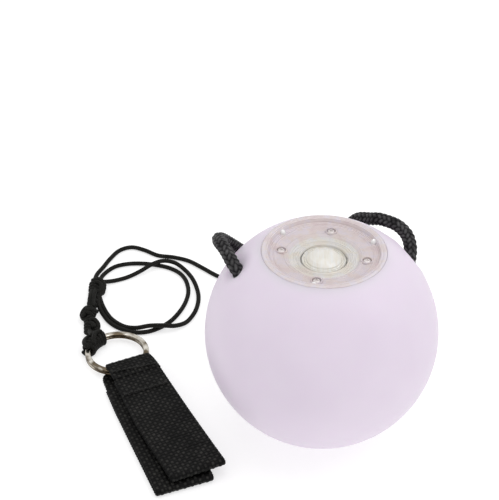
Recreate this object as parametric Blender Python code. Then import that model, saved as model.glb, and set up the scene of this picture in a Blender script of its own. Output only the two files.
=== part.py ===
"""Soft light-up spinning ball on a tether: one named object for each piece.

A hollow silicone ball stands on a small flat foot and holds a pull-out light
module with a push button. A braided rope handle leaves the ball through two
holes and falls behind it, and a thin tether runs from the rope, through a
knotted slack loop, to a split ring and a pair of webbing finger loops.
Metres, +Z up, origin at the middle of the ball's foot on the floor.
"""

import math

import bmesh
import bpy
from mathutils import Matrix, Vector

# ---- Driving dimensions -------------------------------------------------
GAP = 0.0003                      # clearance between neighbouring solids

BALL_RADIUS = 0.0400
BALL_WALL = 0.0035
FOOT_RADIUS = 0.0070
BALL_CENTRE_Z = math.sqrt(BALL_RADIUS**2 - FOOT_RADIUS**2)
MOUTH_RADIUS = 0.0216             # rebate that seats the module's flange
MOUTH_FLOOR = 0.0296              # heights inside the ball are above its centre
NECK_RADIUS = 0.0180
LIP_BOTTOM = 0.0276

FLANGE_RADIUS = 0.0213
HOUSING_RADIUS = 0.0172
HOUSING_WALL = 0.0014
HOUSING_BOTTOM = 0.0060
FLANGE_BOTTOM = MOUTH_FLOOR + GAP
FLANGE_TOP = 0.0307
COVER_BOTTOM = FLANGE_TOP + GAP
SCREW_CIRCLE = 0.0144
SCREW_ANGLES = [math.radians(a) for a in (-12, 78, 168, 258)]
SCREW_SEAT = 0.0314
SCREW_HEAD_RADIUS = 0.0012
SCREW_SHANK_RADIUS = 0.0006
POST_RADIUS = 0.0016
LUG_CIRCLE = 0.0181
LUG_ANGLES = [math.radians(a) for a in (21, 138, 257)]

BOARD_BOTTOM = 0.0200
BOARD_TOP = 0.0212
BOARD_RADIUS = 0.0126
HOLDER_RADIUS = 0.0122
CELL_RADIUS = 0.0100
CELL_HEIGHT = 0.0032
BUTTON_RADIUS = 0.0074

ROPE_DIAMETER = 0.0043
CORD_DIAMETER = 0.0018

RING_CENTRE = Vector((-0.0745, 0.0330, 0.0))
RING_INNER = 0.0099
RING_OUTER = 0.0120
RING_BOTTOM = 0.0017
RING_TURN = 0.0010                # height of one of the ring's two turns
RING_TURN_GAP = 0.0002

WEB_WIDTH = 0.0210
WEB_THICKNESS = 0.0012
ANCHOR_ANGLE = math.radians(25.3) # strap directions, from -Y towards +X
UPPER_ANGLE = math.radians(25.8)
LOWER_ANGLE = math.radians(22.0)
FOLD_START = 0.0069               # distances along the strap, from the ring's centre
THROAT_WIDTH = 0.0104
SEWN_START = RING_OUTER + 0.0004
SEWN_END = 0.0165
UPPER_END = 0.0747
LOWER_END = 0.0755

# Outward directions of the rope where it passes through the ball's wall.
LEFT_HOLE = Vector((-0.0290, -0.0014, 0.0276))
RIGHT_HOLE = Vector((0.0303, 0.0136, 0.0223))
LEFT_EXIT = Vector((-0.55, 0.52, 0.65)).normalized()
RIGHT_EXIT = Vector((0.12, 0.68, 0.72)).normalized()
ROPE_HOLE_RADIUS = ROPE_DIAMETER / 2 + 0.0005
KNOT_DEPTH = 0.0130               # from the ball's skin in to a stopper knot's middle
KNOT_RADIUS = 0.0042

# Route of the handle rope between its two holes, left to right.
ROPE_ROUTE = [
    (-0.0325, 0.0046, 0.0702), (-0.0345, 0.0096, 0.0699), (-0.0351, 0.0148, 0.0678),
    (-0.0334, 0.0203, 0.0635), (-0.0294, 0.0258, 0.0567), (-0.0250, 0.0338, 0.0470),
    (-0.0212, 0.0392, 0.0360), (-0.0184, 0.0430, 0.0245), (-0.0163, 0.0468, 0.0142),
    (-0.0145, 0.0516, 0.0072), (-0.0131, 0.0570, 0.0041), (-0.0114, 0.0619, 0.0034),
    (-0.0080, 0.0653, 0.0036), (-0.0030, 0.0666, 0.0040), (0.0020, 0.0653, 0.0036),
    (0.0054, 0.0619, 0.0034), (0.0071, 0.0570, 0.0041), (0.0083, 0.0516, 0.0072),
    (0.0092, 0.0474, 0.0142), (0.0099, 0.0448, 0.0245), (0.0104, 0.0438, 0.0360),
    (0.0105, 0.0424, 0.0474), (0.0114, 0.0388, 0.0570), (0.0140, 0.0352, 0.0623),
    (0.0182, 0.0309, 0.0652), (0.0213, 0.0279, 0.0670), (0.0262, 0.0238, 0.0675),
    (0.0292, 0.0205, 0.0662), (0.0303, 0.0175, 0.0647),
]
ROPE_POINTS = 48
HITCH_PLACE = (-0.0030, 0.0666, 0.0040)

# Routes of the thin tether, all on the floor except where one strand crosses another.
TETHER_ROUTE = [
    (-0.0030, 0.0709, 0.0024), (-0.0048, 0.0746, 0.0010), (-0.0105, 0.0765, 0.0010),
    (-0.0175, 0.0770, 0.0010), (-0.0245, 0.0782, 0.0010), (-0.0312, 0.0806, 0.0010),
    (-0.0378, 0.0846, 0.0010), (-0.0437, 0.0899, 0.0010), (-0.0496, 0.0949, 0.0010),
    (-0.0559, 0.0975, 0.0010), (-0.0626, 0.0989, 0.0010), (-0.0682, 0.1026, 0.0010),
    (-0.0738, 0.1048, 0.0010), (-0.0788, 0.1024, 0.0010), (-0.0822, 0.0965, 0.0010),
    (-0.0846, 0.0905, 0.0010), (-0.0867, 0.0855, 0.0012), (-0.0877, 0.0802, 0.0022),
]
INNER_LOOP_ROUTE = [
    (-0.0855, 0.0802, 0.0022), (-0.0843, 0.0848, 0.0010), (-0.0820, 0.0886, 0.0010),
    (-0.0790, 0.0914, 0.0010), (-0.0740, 0.0930, 0.0010), (-0.0681, 0.0931, 0.0010),
    (-0.0630, 0.0921, 0.0010), (-0.0580, 0.0903, 0.0010), (-0.0536, 0.0870, 0.0010),
    (-0.0508, 0.0825, 0.0010), (-0.0494, 0.0770, 0.0010), (-0.0492, 0.0720, 0.0010),
    (-0.0502, 0.0662, 0.0010), (-0.0522, 0.0605, 0.0010), (-0.0552, 0.0550, 0.0010),
    (-0.0588, 0.0512, 0.0010), (-0.0632, 0.0482, 0.0010), (-0.0678, 0.0469, 0.0010),
    (-0.0725, 0.0484, 0.0010), (-0.0768, 0.0510, 0.0010), (-0.0803, 0.0546, 0.0010),
    (-0.0826, 0.0592, 0.0010),
]
OUTER_LOOP_ROUTE = [
    (-0.0830, 0.0804, 0.0022), (-0.0790, 0.0814, 0.0010), (-0.0740, 0.0838, 0.0010),
    (-0.0690, 0.0870, 0.0017), (-0.0645, 0.0900, 0.0029), (-0.0600, 0.0920, 0.0032),
    (-0.0553, 0.0919, 0.0023), (-0.0512, 0.0888, 0.0011), (-0.0480, 0.0832, 0.0010),
    (-0.0460, 0.0770, 0.0010), (-0.0450, 0.0710, 0.0010), (-0.0452, 0.0650, 0.0010),
    (-0.0466, 0.0592, 0.0010), (-0.0494, 0.0540, 0.0010), (-0.0536, 0.0506, 0.0020),
    (-0.0585, 0.0493, 0.0032), (-0.0633, 0.0493, 0.0031), (-0.0676, 0.0499, 0.0018),
    (-0.0714, 0.0507, 0.0010), (-0.0753, 0.0529, 0.0010), (-0.0784, 0.0562, 0.0010),
    (-0.0806, 0.0605, 0.0010), (-0.0820, 0.0655, 0.0010),
]
CORD_SPACING = 0.0050

# Knots of the tether, each from one end to the other, with its radius.
UPPER_KNOT = ((-0.0856, 0.0796), (-0.0858, 0.0712), 0.0034)
WRAPPED_KNOT = ((-0.0858, 0.0709), (-0.0868, 0.0602), 0.0024)
MIDDLE_KNOT = ((-0.0870, 0.0599), (-0.0874, 0.0539), 0.0029)
LOWER_KNOT = ((-0.0869, 0.0528), (-0.0846, 0.0462), 0.0029)
HITCH_ANGLES = (math.radians(122), math.radians(172))
HITCH_RADIUS = 0.00275
HITCH_BORE = 0.0019


# ---- Materials ----------------------------------------------------------
def material(name, colour, roughness, metallic=0.0, alpha=1.0):
    made = bpy.data.materials.new(name)
    made.use_nodes = True
    shader = made.node_tree.nodes["Principled BSDF"]
    shader.inputs["Base Color"].default_value = (*colour, 1.0)
    shader.inputs["Roughness"].default_value = roughness
    shader.inputs["Metallic"].default_value = metallic
    shader.inputs["Alpha"].default_value = alpha
    made.diffuse_color = (*colour, alpha)
    return made


def make_materials():
    return {
        "silicone": material("silicone", (0.74, 0.66, 0.77), 0.55),
        "clear": material("clear_plastic", (0.80, 0.76, 0.74), 0.12, alpha=0.45),
        "seal": material("seal_rubber", (0.75, 0.72, 0.72), 0.60),
        "white": material("white_plastic", (0.86, 0.84, 0.76), 0.40),
        "steel": material("steel", (0.62, 0.60, 0.57), 0.25, metallic=1.0),
        "board": material("circuit_board", (0.80, 0.80, 0.76), 0.50),
        "chip": material("chip_plastic", (0.03, 0.03, 0.03), 0.45),
        "rope": material("rope_braid", (0.012, 0.012, 0.013), 0.70),
        "cord": material("tether_cord", (0.020, 0.020, 0.018), 0.75),
        "webbing": material("webbing", (0.018, 0.018, 0.017), 0.80),
        "thread": material("thread", (0.030, 0.030, 0.028), 0.70),
    }


# ---- Geometry helpers ---------------------------------------------------
def add_object(name, mesh_builder, surface, location=(0, 0, 0), parent=None, turn=0.0):
    """Turns a bmesh into a named, smooth-shaded object."""
    bmesh.ops.recalc_face_normals(mesh_builder, faces=mesh_builder.faces)
    mesh = bpy.data.meshes.new(name)
    mesh_builder.to_mesh(mesh)
    mesh_builder.free()
    mesh.shade_smooth()
    mesh.set_sharp_from_angle(angle=math.radians(35))
    if surface:
        mesh.materials.append(surface)
    made = bpy.data.objects.new(name, mesh)
    bpy.context.scene.collection.objects.link(made)
    made.location = location
    made.rotation_euler.z = turn
    made.parent = parent
    return made


def spin_profile(builder, profile, segments):
    """Turns a closed (radius, height) outline about the Z axis."""
    corners = [builder.verts.new((radius, 0.0, height)) for radius, height in profile]
    edges = [
        builder.edges.new((corners[i], corners[(i + 1) % len(corners)]))
        for i in range(len(corners))
        if not (profile[i][0] == 0 and profile[(i + 1) % len(profile)][0] == 0)
    ]
    bmesh.ops.spin(builder, geom=corners + edges, cent=(0, 0, 0), axis=(0, 0, 1),
                   angle=2 * math.pi, steps=segments, use_merge=True)
    bmesh.ops.remove_doubles(builder, verts=builder.verts, dist=1e-6)


def turned(name, profile, segments, surface, location=(0, 0, 0), parent=None):
    builder = bmesh.new()
    spin_profile(builder, profile, segments)
    return add_object(name, builder, surface, location, parent)


def arc(radius, start, end, count, centre_height=0.0):
    """(radius, height) points on a circle about the axis, angles from the top, in degrees."""
    angles = [math.radians(start + (end - start) * i / (count - 1)) for i in range(count)]
    return [(radius * math.sin(a), centre_height + radius * math.cos(a)) for a in angles]


def add_box(builder, size, centre, turn=0.0):
    place = (Matrix.Rotation(turn, 4, "Z") @ Matrix.Translation(centre)
             @ Matrix.Diagonal((*size, 1.0)))
    bmesh.ops.create_cube(builder, size=1.0, matrix=place)


def add_cylinder(builder, radius, bottom, top, centre=(0.0, 0.0), segments=16):
    place = Matrix.Translation((*centre, (bottom + top) / 2))
    bmesh.ops.create_cone(builder, cap_ends=True, segments=segments, radius1=radius,
                          radius2=radius, depth=top - bottom, matrix=place)


def on_circle(radius, angle):
    return (radius * math.cos(angle), radius * math.sin(angle))


def boolean(target, other, operation="DIFFERENCE"):
    """Cuts with a helper, or joins it, and keeps the helper out of the model."""
    cut = target.modifiers.new(other.name, "BOOLEAN")
    cut.operation = operation
    cut.object = other
    cut.solver = "EXACT"
    other.hide_render = True
    other.display_type = "WIRE"


def catmull_rom(points, per_span=12):
    """A smooth curve through the points, as a dense polyline."""
    route = [Vector(p) for p in points]
    route = [2 * route[0] - route[1]] + route + [2 * route[-1] - route[-2]]
    dense = []
    for before, start, end, after in zip(route, route[1:], route[2:], route[3:]):
        for step in range(per_span):
            t = step / per_span
            dense.append(0.5 * (2 * start + (end - before) * t
                                + (2 * before - 5 * start + 4 * end - after) * t**2
                                + (3 * start - before - 3 * end + after) * t**3))
    return dense + [route[-2]]


def even_points(points, count):
    """The smooth curve through the points, at equal steps along its length."""
    dense = catmull_rom(points)
    reach = [0.0]
    for start, end in zip(dense, dense[1:]):
        reach.append(reach[-1] + (end - start).length)
    result = []
    span = 0
    for step in range(count):
        wanted = reach[-1] * step / (count - 1)
        while span < len(dense) - 2 and reach[span + 1] < wanted:
            span += 1
        share = (wanted - reach[span]) / (reach[span + 1] - reach[span])
        result.append(dense[span].lerp(dense[span + 1], share))
    return result


def route_length(points):
    dense = catmull_rom(points)
    return sum((end - start).length for start, end in zip(dense, dense[1:]))


def tube(name, points, count, diameter, surface):
    """A cord: a round bevel along a smooth route, closed at both ends."""
    curve = bpy.data.curves.new(name, "CURVE")
    curve.dimensions = "3D"
    curve.bevel_depth = diameter / 2
    curve.bevel_resolution = 2
    curve.use_fill_caps = True
    spline = curve.splines.new("POLY")
    route = even_points(points, count)
    spline.points.add(len(route) - 1)
    for place, point in zip(spline.points, route):
        place.co = (*point, 1.0)
    spline.use_smooth = True
    curve.materials.append(surface)
    made = bpy.data.objects.new(name, curve)
    bpy.context.scene.collection.objects.link(made)
    return made


# ---- Ball and rope ------------------------------------------------------
def ball_point(offset):
    """A place given from the ball's centre, in world coordinates."""
    return Vector(offset) + Vector((0, 0, BALL_CENTRE_Z))


def rope_holes():
    """Two cylinders along the rope, where it passes through the ball's wall."""
    builder = bmesh.new()
    for hole, exit_way in ((LEFT_HOLE, LEFT_EXIT), (RIGHT_HOLE, RIGHT_EXIT)):
        turn = exit_way.to_track_quat("Z", "Y").to_matrix().to_4x4()
        bmesh.ops.create_cone(builder, cap_ends=True, segments=16, radius1=ROPE_HOLE_RADIUS,
                              radius2=ROPE_HOLE_RADIUS, depth=0.016,
                              matrix=Matrix.Translation(hole) @ turn)
    return add_object("rope_hole_cutters", builder, None, (0, 0, BALL_CENTRE_Z))


def ball_shell(surfaces):
    inner = BALL_RADIUS - BALL_WALL
    foot_angle = 180 - math.degrees(math.asin(FOOT_RADIUS / BALL_RADIUS))
    mouth_angle = math.degrees(math.asin(MOUTH_RADIUS / BALL_RADIUS))
    lip_angle = math.degrees(math.acos(LIP_BOTTOM / inner))
    profile = arc(BALL_RADIUS, mouth_angle, foot_angle, 20)
    profile += [(0.0, -BALL_CENTRE_Z), (0.0, -inner)]
    profile += arc(inner, 172, lip_angle, 14)
    profile += [(NECK_RADIUS, LIP_BOTTOM), (NECK_RADIUS, MOUTH_FLOOR), (MOUTH_RADIUS, MOUTH_FLOOR)]
    ball = turned("ball_shell", profile, 48, surfaces["silicone"], (0, 0, BALL_CENTRE_Z))
    boolean(ball, rope_holes())


def rope_knots(surfaces):
    """Stopper knots inside the ball, on the rope's two ends."""
    height = 0.0084
    profile = [(0.0, height / 2), (0.0022, height / 2), (KNOT_RADIUS * 0.86, height * 0.30),
               (KNOT_RADIUS * 0.80, height * 0.10), (KNOT_RADIUS, -height * 0.08),
               (KNOT_RADIUS * 0.90, -height * 0.28), (0.0024, -height / 2), (0.0, -height / 2)]
    for name, hole, exit_way in (("rope_knot_left", LEFT_HOLE, LEFT_EXIT),
                                 ("rope_knot_right", RIGHT_HOLE, RIGHT_EXIT)):
        knot = turned(name, profile, 20, surfaces["rope"], ball_point(hole - exit_way * KNOT_DEPTH))
        knot.rotation_euler = exit_way.to_track_quat("Z", "Y").to_euler()


def handle_rope(surfaces):
    """One rope from the left stopper knot, out round the back and in to the right one."""
    inside = KNOT_DEPTH - 0.0042 - GAP
    route = [ball_point(LEFT_HOLE + LEFT_EXIT * along) for along in (-inside, -0.002, 0.0018)]
    route += ROPE_ROUTE
    route += [ball_point(RIGHT_HOLE + RIGHT_EXIT * along) for along in (0.0018, -0.002, -inside)]
    tube("handle_rope", route, ROPE_POINTS, ROPE_DIAMETER, surfaces["rope"])


def rope_hitch(surfaces):
    """The tether's wraps round the rope, at the middle of the handle."""
    bore = ROPE_DIAMETER / 2 + 0.0006
    outer = 0.0039
    profile = [(bore, 0.0024), (0.0034, 0.0024), (outer, 0.0015), (0.0036, 0.0008),
               (outer, 0.0), (0.0036, -0.0008), (outer, -0.0015), (0.0034, -0.0024),
               (bore, -0.0024)]
    hitch = turned("rope_hitch", profile, 20, surfaces["cord"], HITCH_PLACE)
    hitch.rotation_euler.y = math.pi / 2


# ---- Light module -------------------------------------------------------
def screw_places():
    return [on_circle(SCREW_CIRCLE, angle) for angle in SCREW_ANGLES]


def module_housing(surfaces, parent):
    """Clear cup with a flange, and four posts for the cover's screws."""
    inner = HOUSING_RADIUS - HOUSING_WALL
    profile = [(FLANGE_RADIUS, FLANGE_TOP), (FLANGE_RADIUS, FLANGE_BOTTOM),
               (HOUSING_RADIUS, FLANGE_BOTTOM), (HOUSING_RADIUS, HOUSING_BOTTOM + 0.001),
               (HOUSING_RADIUS - 0.001, HOUSING_BOTTOM), (0.0, HOUSING_BOTTOM),
               (0.0, HOUSING_BOTTOM + HOUSING_WALL), (inner, HOUSING_BOTTOM + HOUSING_WALL),
               (inner, FLANGE_TOP)]
    housing = turned("module_housing", profile, 40, surfaces["clear"], parent=parent)
    posts = bmesh.new()
    pilots = bmesh.new()
    for place in screw_places():
        add_cylinder(posts, POST_RADIUS, 0.0220, FLANGE_TOP - 0.0001, place, 14)
        add_cylinder(pilots, SCREW_SHANK_RADIUS + GAP, 0.0242, 0.0330, place, 12)
    boolean(housing, add_object("housing_posts", posts, None, parent=parent), "UNION")
    boolean(housing, add_object("housing_pilots", pilots, None, parent=parent))


def housing_gasket(surfaces, parent):
    top = COVER_BOTTOM + 0.0005
    profile = [(0.0177, COVER_BOTTOM), (0.0191, COVER_BOTTOM), (0.0191, top), (0.0177, top)]
    turned("housing_gasket", profile, 36, surfaces["seal"], parent=parent)


def module_cover(surfaces, parent):
    """Clear disc: raised rim, dished ring inside it, and a sunk plate round the button."""
    groove_top = COVER_BOTTOM + 0.0008
    profile = [
        (FLANGE_RADIUS, COVER_BOTTOM), (FLANGE_RADIUS, 0.0338), (0.0209, 0.0343), (0.0203, 0.0345),
        (0.0196, 0.0343), (0.0190, 0.0341), (0.0187, 0.0338), (0.0184, 0.0328), (0.0181, 0.0325),
        (0.0122, 0.0317), (0.0119, 0.0315), (0.0116, 0.0312), (0.0112, 0.0310), (0.0087, 0.0309),
        (0.0082, 0.0307), (0.0079, 0.0304), (0.0079, 0.0296), (0.0124, 0.0296),
        (0.0124, COVER_BOTTOM), (0.0173, COVER_BOTTOM), (0.0173, groove_top), (0.0195, groove_top),
        (0.0195, COVER_BOTTOM),
    ]
    cover = turned("module_cover", profile, 48, surfaces["clear"], parent=parent)
    shanks = bmesh.new()
    heads = bmesh.new()
    for place in screw_places():
        add_cylinder(shanks, SCREW_SHANK_RADIUS + GAP, 0.0305, 0.0340, place, 12)
        add_cylinder(heads, SCREW_HEAD_RADIUS + GAP, SCREW_SEAT, 0.0340, place, 16)
    boolean(cover, add_object("cover_shank_bores", shanks, None, parent=parent))
    boolean(cover, add_object("cover_head_bores", heads, None, parent=parent))
    lugs = bmesh.new()
    for angle in LUG_ANGLES:
        add_cylinder(lugs, 0.0008, 0.0321, 0.0333, on_circle(LUG_CIRCLE, angle), 10)
    boolean(cover, add_object("cover_lugs", lugs, None, parent=parent), "UNION")


def copies(name, first, places):
    """Names the first object NAME_1 and places copies of it that share its mesh."""
    first.name = name + "_1"
    first.location = places[0]
    for number, place in enumerate(places[1:], start=2):
        copy = bpy.data.objects.new(f"{name}_{number}", first.data)
        copy.location = place
        copy.parent = first.parent
        bpy.context.scene.collection.objects.link(copy)


def cover_screws(surfaces, parent):
    """Four self-tapping screws, down through the cover into the housing's posts."""
    under_head = SCREW_SEAT + GAP
    profile = [(0.0, 0.0252), (SCREW_SHANK_RADIUS, 0.0258), (SCREW_SHANK_RADIUS, under_head),
               (SCREW_HEAD_RADIUS, under_head), (SCREW_HEAD_RADIUS, under_head + 0.0004),
               (SCREW_HEAD_RADIUS * 0.7, under_head + 0.0006), (0.0, under_head + 0.0006)]
    screw = turned("cover_screw", profile, 12, surfaces["steel"], parent=parent)
    copies("cover_screw", screw, [(x, y, 0.0) for x, y in screw_places()])


def button(surfaces, parent):
    """Clear domed cap with a retaining flange, and the white core that it carries."""
    cap = [(0.0092, 0.0283), (0.0092, 0.0291), (0.0076, 0.0292), (BUTTON_RADIUS, 0.0302),
           (0.0071, 0.0306), (0.0067, 0.0304), (0.0061, 0.0308), (0.0047, 0.0318),
           (0.0026, 0.0325), (0.0, 0.0328), (0.0, 0.0318), (0.0040, 0.0312),
           (0.0063, 0.0295), (0.0064, 0.0283)]
    turned("button_cap", cap, 36, surfaces["clear"], parent=parent)
    core = [(0.0, 0.0314), (0.0036, 0.0309), (0.0057, 0.0294), (0.0060, 0.0292),
            (0.0060, 0.0286), (0.0021, 0.0286), (0.0021, 0.0275), (0.0, 0.0275)]
    turned("button_core", core, 30, surfaces["white"], parent=parent)


def switch_body(surfaces, parent):
    builder = bmesh.new()
    add_box(builder, (0.0060, 0.0060, 0.0035), (0, 0, BOARD_TOP + GAP + 0.00175))
    body = add_object("switch_body", builder, surfaces["chip"], parent=parent)
    stem = bmesh.new()
    add_cylinder(stem, 0.0017, BOARD_TOP + 0.0030, 0.0262, segments=14)
    boolean(body, add_object("switch_stem", stem, None, parent=parent), "UNION")


def circuit_board(surfaces, parent):
    profile = [(0.0, BOARD_TOP), (BOARD_RADIUS, BOARD_TOP), (BOARD_RADIUS, BOARD_BOTTOM),
               (0.0, BOARD_BOTTOM)]
    turned("circuit_board", profile, 36, surfaces["board"], parent=parent)


def board_leds(surfaces, parent):
    """Three flat light-emitting chips with low domes, round the switch."""
    floor = BOARD_TOP + GAP
    profile = [(0.0, floor + 0.0042), (0.0012, floor + 0.0038), (0.0022, floor + 0.0024),
               (0.0025, floor + 0.0010), (0.0028, floor + 0.0010), (0.0028, floor),
               (0.0, floor)]
    led = turned("board_led", profile, 14, surfaces["white"], parent=parent)
    angles = [math.radians(90 + 120 * number) for number in range(3)]
    copies("board_led", led, [(*on_circle(0.0088, angle), 0.0) for angle in angles])


def board_chips(surfaces, parent):
    """The controller, and one resistor for each light, in the gaps between the lights."""
    floor = BOARD_TOP + GAP
    chip = bmesh.new()
    add_box(chip, (0.0042, 0.0034, 0.0012), (0.0085, 0.0, floor + 0.0006), math.radians(30))
    add_object("board_chip", chip, surfaces["chip"], parent=parent)
    resistor = bmesh.new()
    add_box(resistor, (0.0010, 0.0020, 0.0006), (0.0, 0.0, floor + 0.0003), math.radians(150))
    first = add_object("board_resistor", resistor, surfaces["chip"], parent=parent)
    middle = Vector((*on_circle(0.0085, math.radians(150)), 0.0))
    step = Vector((*on_circle(0.0020, math.radians(240)), 0.0))
    copies("board_resistor", first, [middle + step * offset for offset in (-1, 0, 1)])


def battery_pack(surfaces, parent):
    """White holder with two coin cells, a clip above them and a spring below."""
    holder = [(HOLDER_RADIUS, 0.0197), (HOLDER_RADIUS, 0.0086), (0.0030, 0.0086),
              (0.0030, 0.0098), (CELL_RADIUS + 0.0004, 0.0098), (CELL_RADIUS + 0.0004, 0.0197)]
    turned("battery_holder", holder, 32, surfaces["white"], parent=parent)

    top = CELL_HEIGHT
    cell = [(0.0, 0.0), (0.0085, 0.0), (0.0088, 0.0005), (CELL_RADIUS - 0.0002, 0.0005),
            (CELL_RADIUS, 0.0008), (CELL_RADIUS, top - 0.0002), (CELL_RADIUS - 0.0002, top),
            (0.0, top)]
    first = turned("battery_cell", cell, 24, surfaces["steel"], parent=parent)
    copies("battery_cell", first, [(0, 0, 0.0104), (0, 0, 0.0104 + CELL_HEIGHT + GAP)])

    clip = bmesh.new()
    add_box(clip, (0.0150, 0.0040, 0.0003), (0.0, 0.0, 0.01745))
    strip = add_object("battery_clip", clip, surfaces["steel"], parent=parent)
    leg = bmesh.new()
    add_box(leg, (0.0003, 0.0040, 0.0022), (0.00735, 0.0, 0.0184))
    boolean(strip, add_object("clip_leg", leg, None, parent=parent), "UNION")

    spring = [(0.0, 0.0100), (0.0015, 0.0100), (0.0022, 0.0092), (0.0025, 0.0082),
              (0.0025, 0.0078), (0.0, 0.0078)]
    turned("battery_spring", spring, 16, surfaces["steel"], parent=parent)


# ---- Tether -------------------------------------------------------------
def tether_tubes(surfaces):
    for name, route in (("tether_cord", TETHER_ROUTE), ("slack_loop_inner", INNER_LOOP_ROUTE),
                        ("slack_loop_outer", OUTER_LOOP_ROUTE)):
        count = round(route_length(route) / CORD_SPACING) + 1
        tube(name, route, count, CORD_DIAMETER, surfaces["cord"])


def tether_knots(surfaces):
    """Four wrapped knots in line, each a turned barrel with a ridge for each wrap."""
    for name, (start, end, radius) in (("tether_knot_upper", UPPER_KNOT),
                                       ("tether_knot_wrapped", WRAPPED_KNOT),
                                       ("tether_knot_middle", MIDDLE_KNOT),
                                       ("tether_knot_lower", LOWER_KNOT)):
        first = Vector((*start, radius))
        last = Vector((*end, radius))
        length = (last - first).length
        wraps = max(2, round(length / 0.0024))
        profile = [(0.0, length / 2), (radius * 0.62, length / 2)]
        for wrap in range(wraps):
            middle = length / 2 - length * (wrap + 0.5) / wraps
            profile += [(radius, middle)]
            if wrap < wraps - 1:
                profile += [(radius * 0.88, middle - length / wraps / 2)]
        profile += [(radius * 0.62, -length / 2), (0.0, -length / 2)]
        knot = turned(name, profile, 16, surfaces["cord"], (first + last) / 2)
        knot.rotation_euler = (first - last).to_track_quat("Z", "Y").to_euler()


def sweep_about_ring(builder, sections, closed_section=True):
    """Joins rings of points into a skin, and returns the rings of vertices."""
    rings = [[builder.verts.new(point) for point in section] for section in sections]
    count = len(rings[0])
    for ring, following in zip(rings, rings[1:]):
        for i in range(count if closed_section else count - 1):
            j = (i + 1) % count
            builder.faces.new((ring[i], ring[j], following[j], following[i]))
    return rings


def ring_hitch(surfaces):
    """The tether's wraps round the ring's wire: a bent sleeve with a bore for the wire."""
    builder = bmesh.new()
    middle_radius = (RING_INNER + RING_OUTER) / 2
    middle_height = RING_BOTTOM + RING_TURN + RING_TURN_GAP / 2
    steps = 9
    sides = 12
    skins = []
    for sleeve in ("outer", "bore"):
        sections = []
        for step in range(steps):
            angle = HITCH_ANGLES[0] + (HITCH_ANGLES[1] - HITCH_ANGLES[0]) * step / (steps - 1)
            swell = 0.94 if step % 2 else 1.0
            radius = HITCH_RADIUS * swell if sleeve == "outer" else HITCH_BORE
            section = []
            for side in range(sides):
                turn = 2 * math.pi * side / sides
                reach = middle_radius + radius * math.cos(turn)
                section.append((*on_circle(reach, angle), middle_height + radius * math.sin(turn)))
            sections.append(section)
        skins.append(sweep_about_ring(builder, sections))
    outer, bore = skins
    for end in (0, -1):
        for i in range(sides):
            j = (i + 1) % sides
            builder.faces.new((outer[end][i], outer[end][j], bore[end][j], bore[end][i]))
    add_object("ring_hitch", builder, surfaces["cord"], RING_CENTRE)


def split_ring(surfaces):
    """Two flat turns of one wire, with the step where the lower turn becomes the upper."""
    builder = bmesh.new()
    total = math.radians(672)
    step_start = math.radians(304)
    step_end = math.radians(352)
    rise = RING_TURN + RING_TURN_GAP
    steps = 96
    edge = 0.00022
    low = RING_BOTTOM
    sections = []
    for step in range(steps + 1):
        angle = total * step / steps
        share = min(max((angle - step_start) / (step_end - step_start), 0.0), 1.0)
        lift = low + rise * (share * share * (3 - 2 * share))
        outline = [(RING_INNER, lift + edge), (RING_INNER + edge, lift), (RING_OUTER - edge, lift),
                   (RING_OUTER, lift + edge), (RING_OUTER, lift + RING_TURN - edge),
                   (RING_OUTER - edge, lift + RING_TURN), (RING_INNER + edge, lift + RING_TURN),
                   (RING_INNER, lift + RING_TURN - edge)]
        sections.append([(*on_circle(radius, angle), height) for radius, height in outline])
    rings = sweep_about_ring(builder, sections)
    builder.faces.new(rings[0])
    builder.faces.new(rings[-1])
    add_object("split_ring", builder, surfaces["steel"], RING_CENTRE)


# ---- Finger strap -------------------------------------------------------
def strap_turn(angle):
    """Rotation that lays a piece drawn along +X in the strap's direction."""
    return angle - math.pi / 2


def extrude_side_view(builder, outline, width):
    """A closed (along, height) outline, drawn out to both sides of the strap's middle."""
    near = [builder.verts.new((along, -width / 2, height)) for along, height in outline]
    face = builder.faces.new(near)
    made = bmesh.ops.extrude_face_region(builder, geom=[face])
    moved = [item for item in made["geom"] if isinstance(item, bmesh.types.BMVert)]
    bmesh.ops.translate(builder, verts=moved, vec=(0, width, 0))


def strap_anchor(surfaces):
    """Webbing folded round the ring's wire and sewn together behind it."""
    stack = 4 * WEB_THICKNESS + 0.0006
    low_top = WEB_THICKNESS
    high_bottom = stack - WEB_THICKNESS
    outline = [(FOLD_START, 0.0002), (FOLD_START + 0.0004, 0.0), (SEWN_END, 0.0),
               (SEWN_END, stack), (FOLD_START + 0.0012, stack), (FOLD_START, stack - 0.0005),
               (FOLD_START, high_bottom), (SEWN_START, high_bottom), (SEWN_START, low_top),
               (FOLD_START, low_top)]
    builder = bmesh.new()
    extrude_side_view(builder, outline, WEB_WIDTH)
    anchor = add_object("strap_anchor", builder, surfaces["webbing"], RING_CENTRE,
                        turn=strap_turn(ANCHOR_ANGLE))
    throat = bmesh.new()
    add_box(throat, (WEB_THICKNESS, THROAT_WIDTH, high_bottom - low_top + 0.0004),
            (FOLD_START + WEB_THICKNESS / 2, 0.0, (high_bottom + low_top) / 2))
    wall = add_object("strap_throat", throat, None, RING_CENTRE, turn=strap_turn(ANCHOR_ANGLE))
    boolean(anchor, wall, "UNION")


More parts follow.
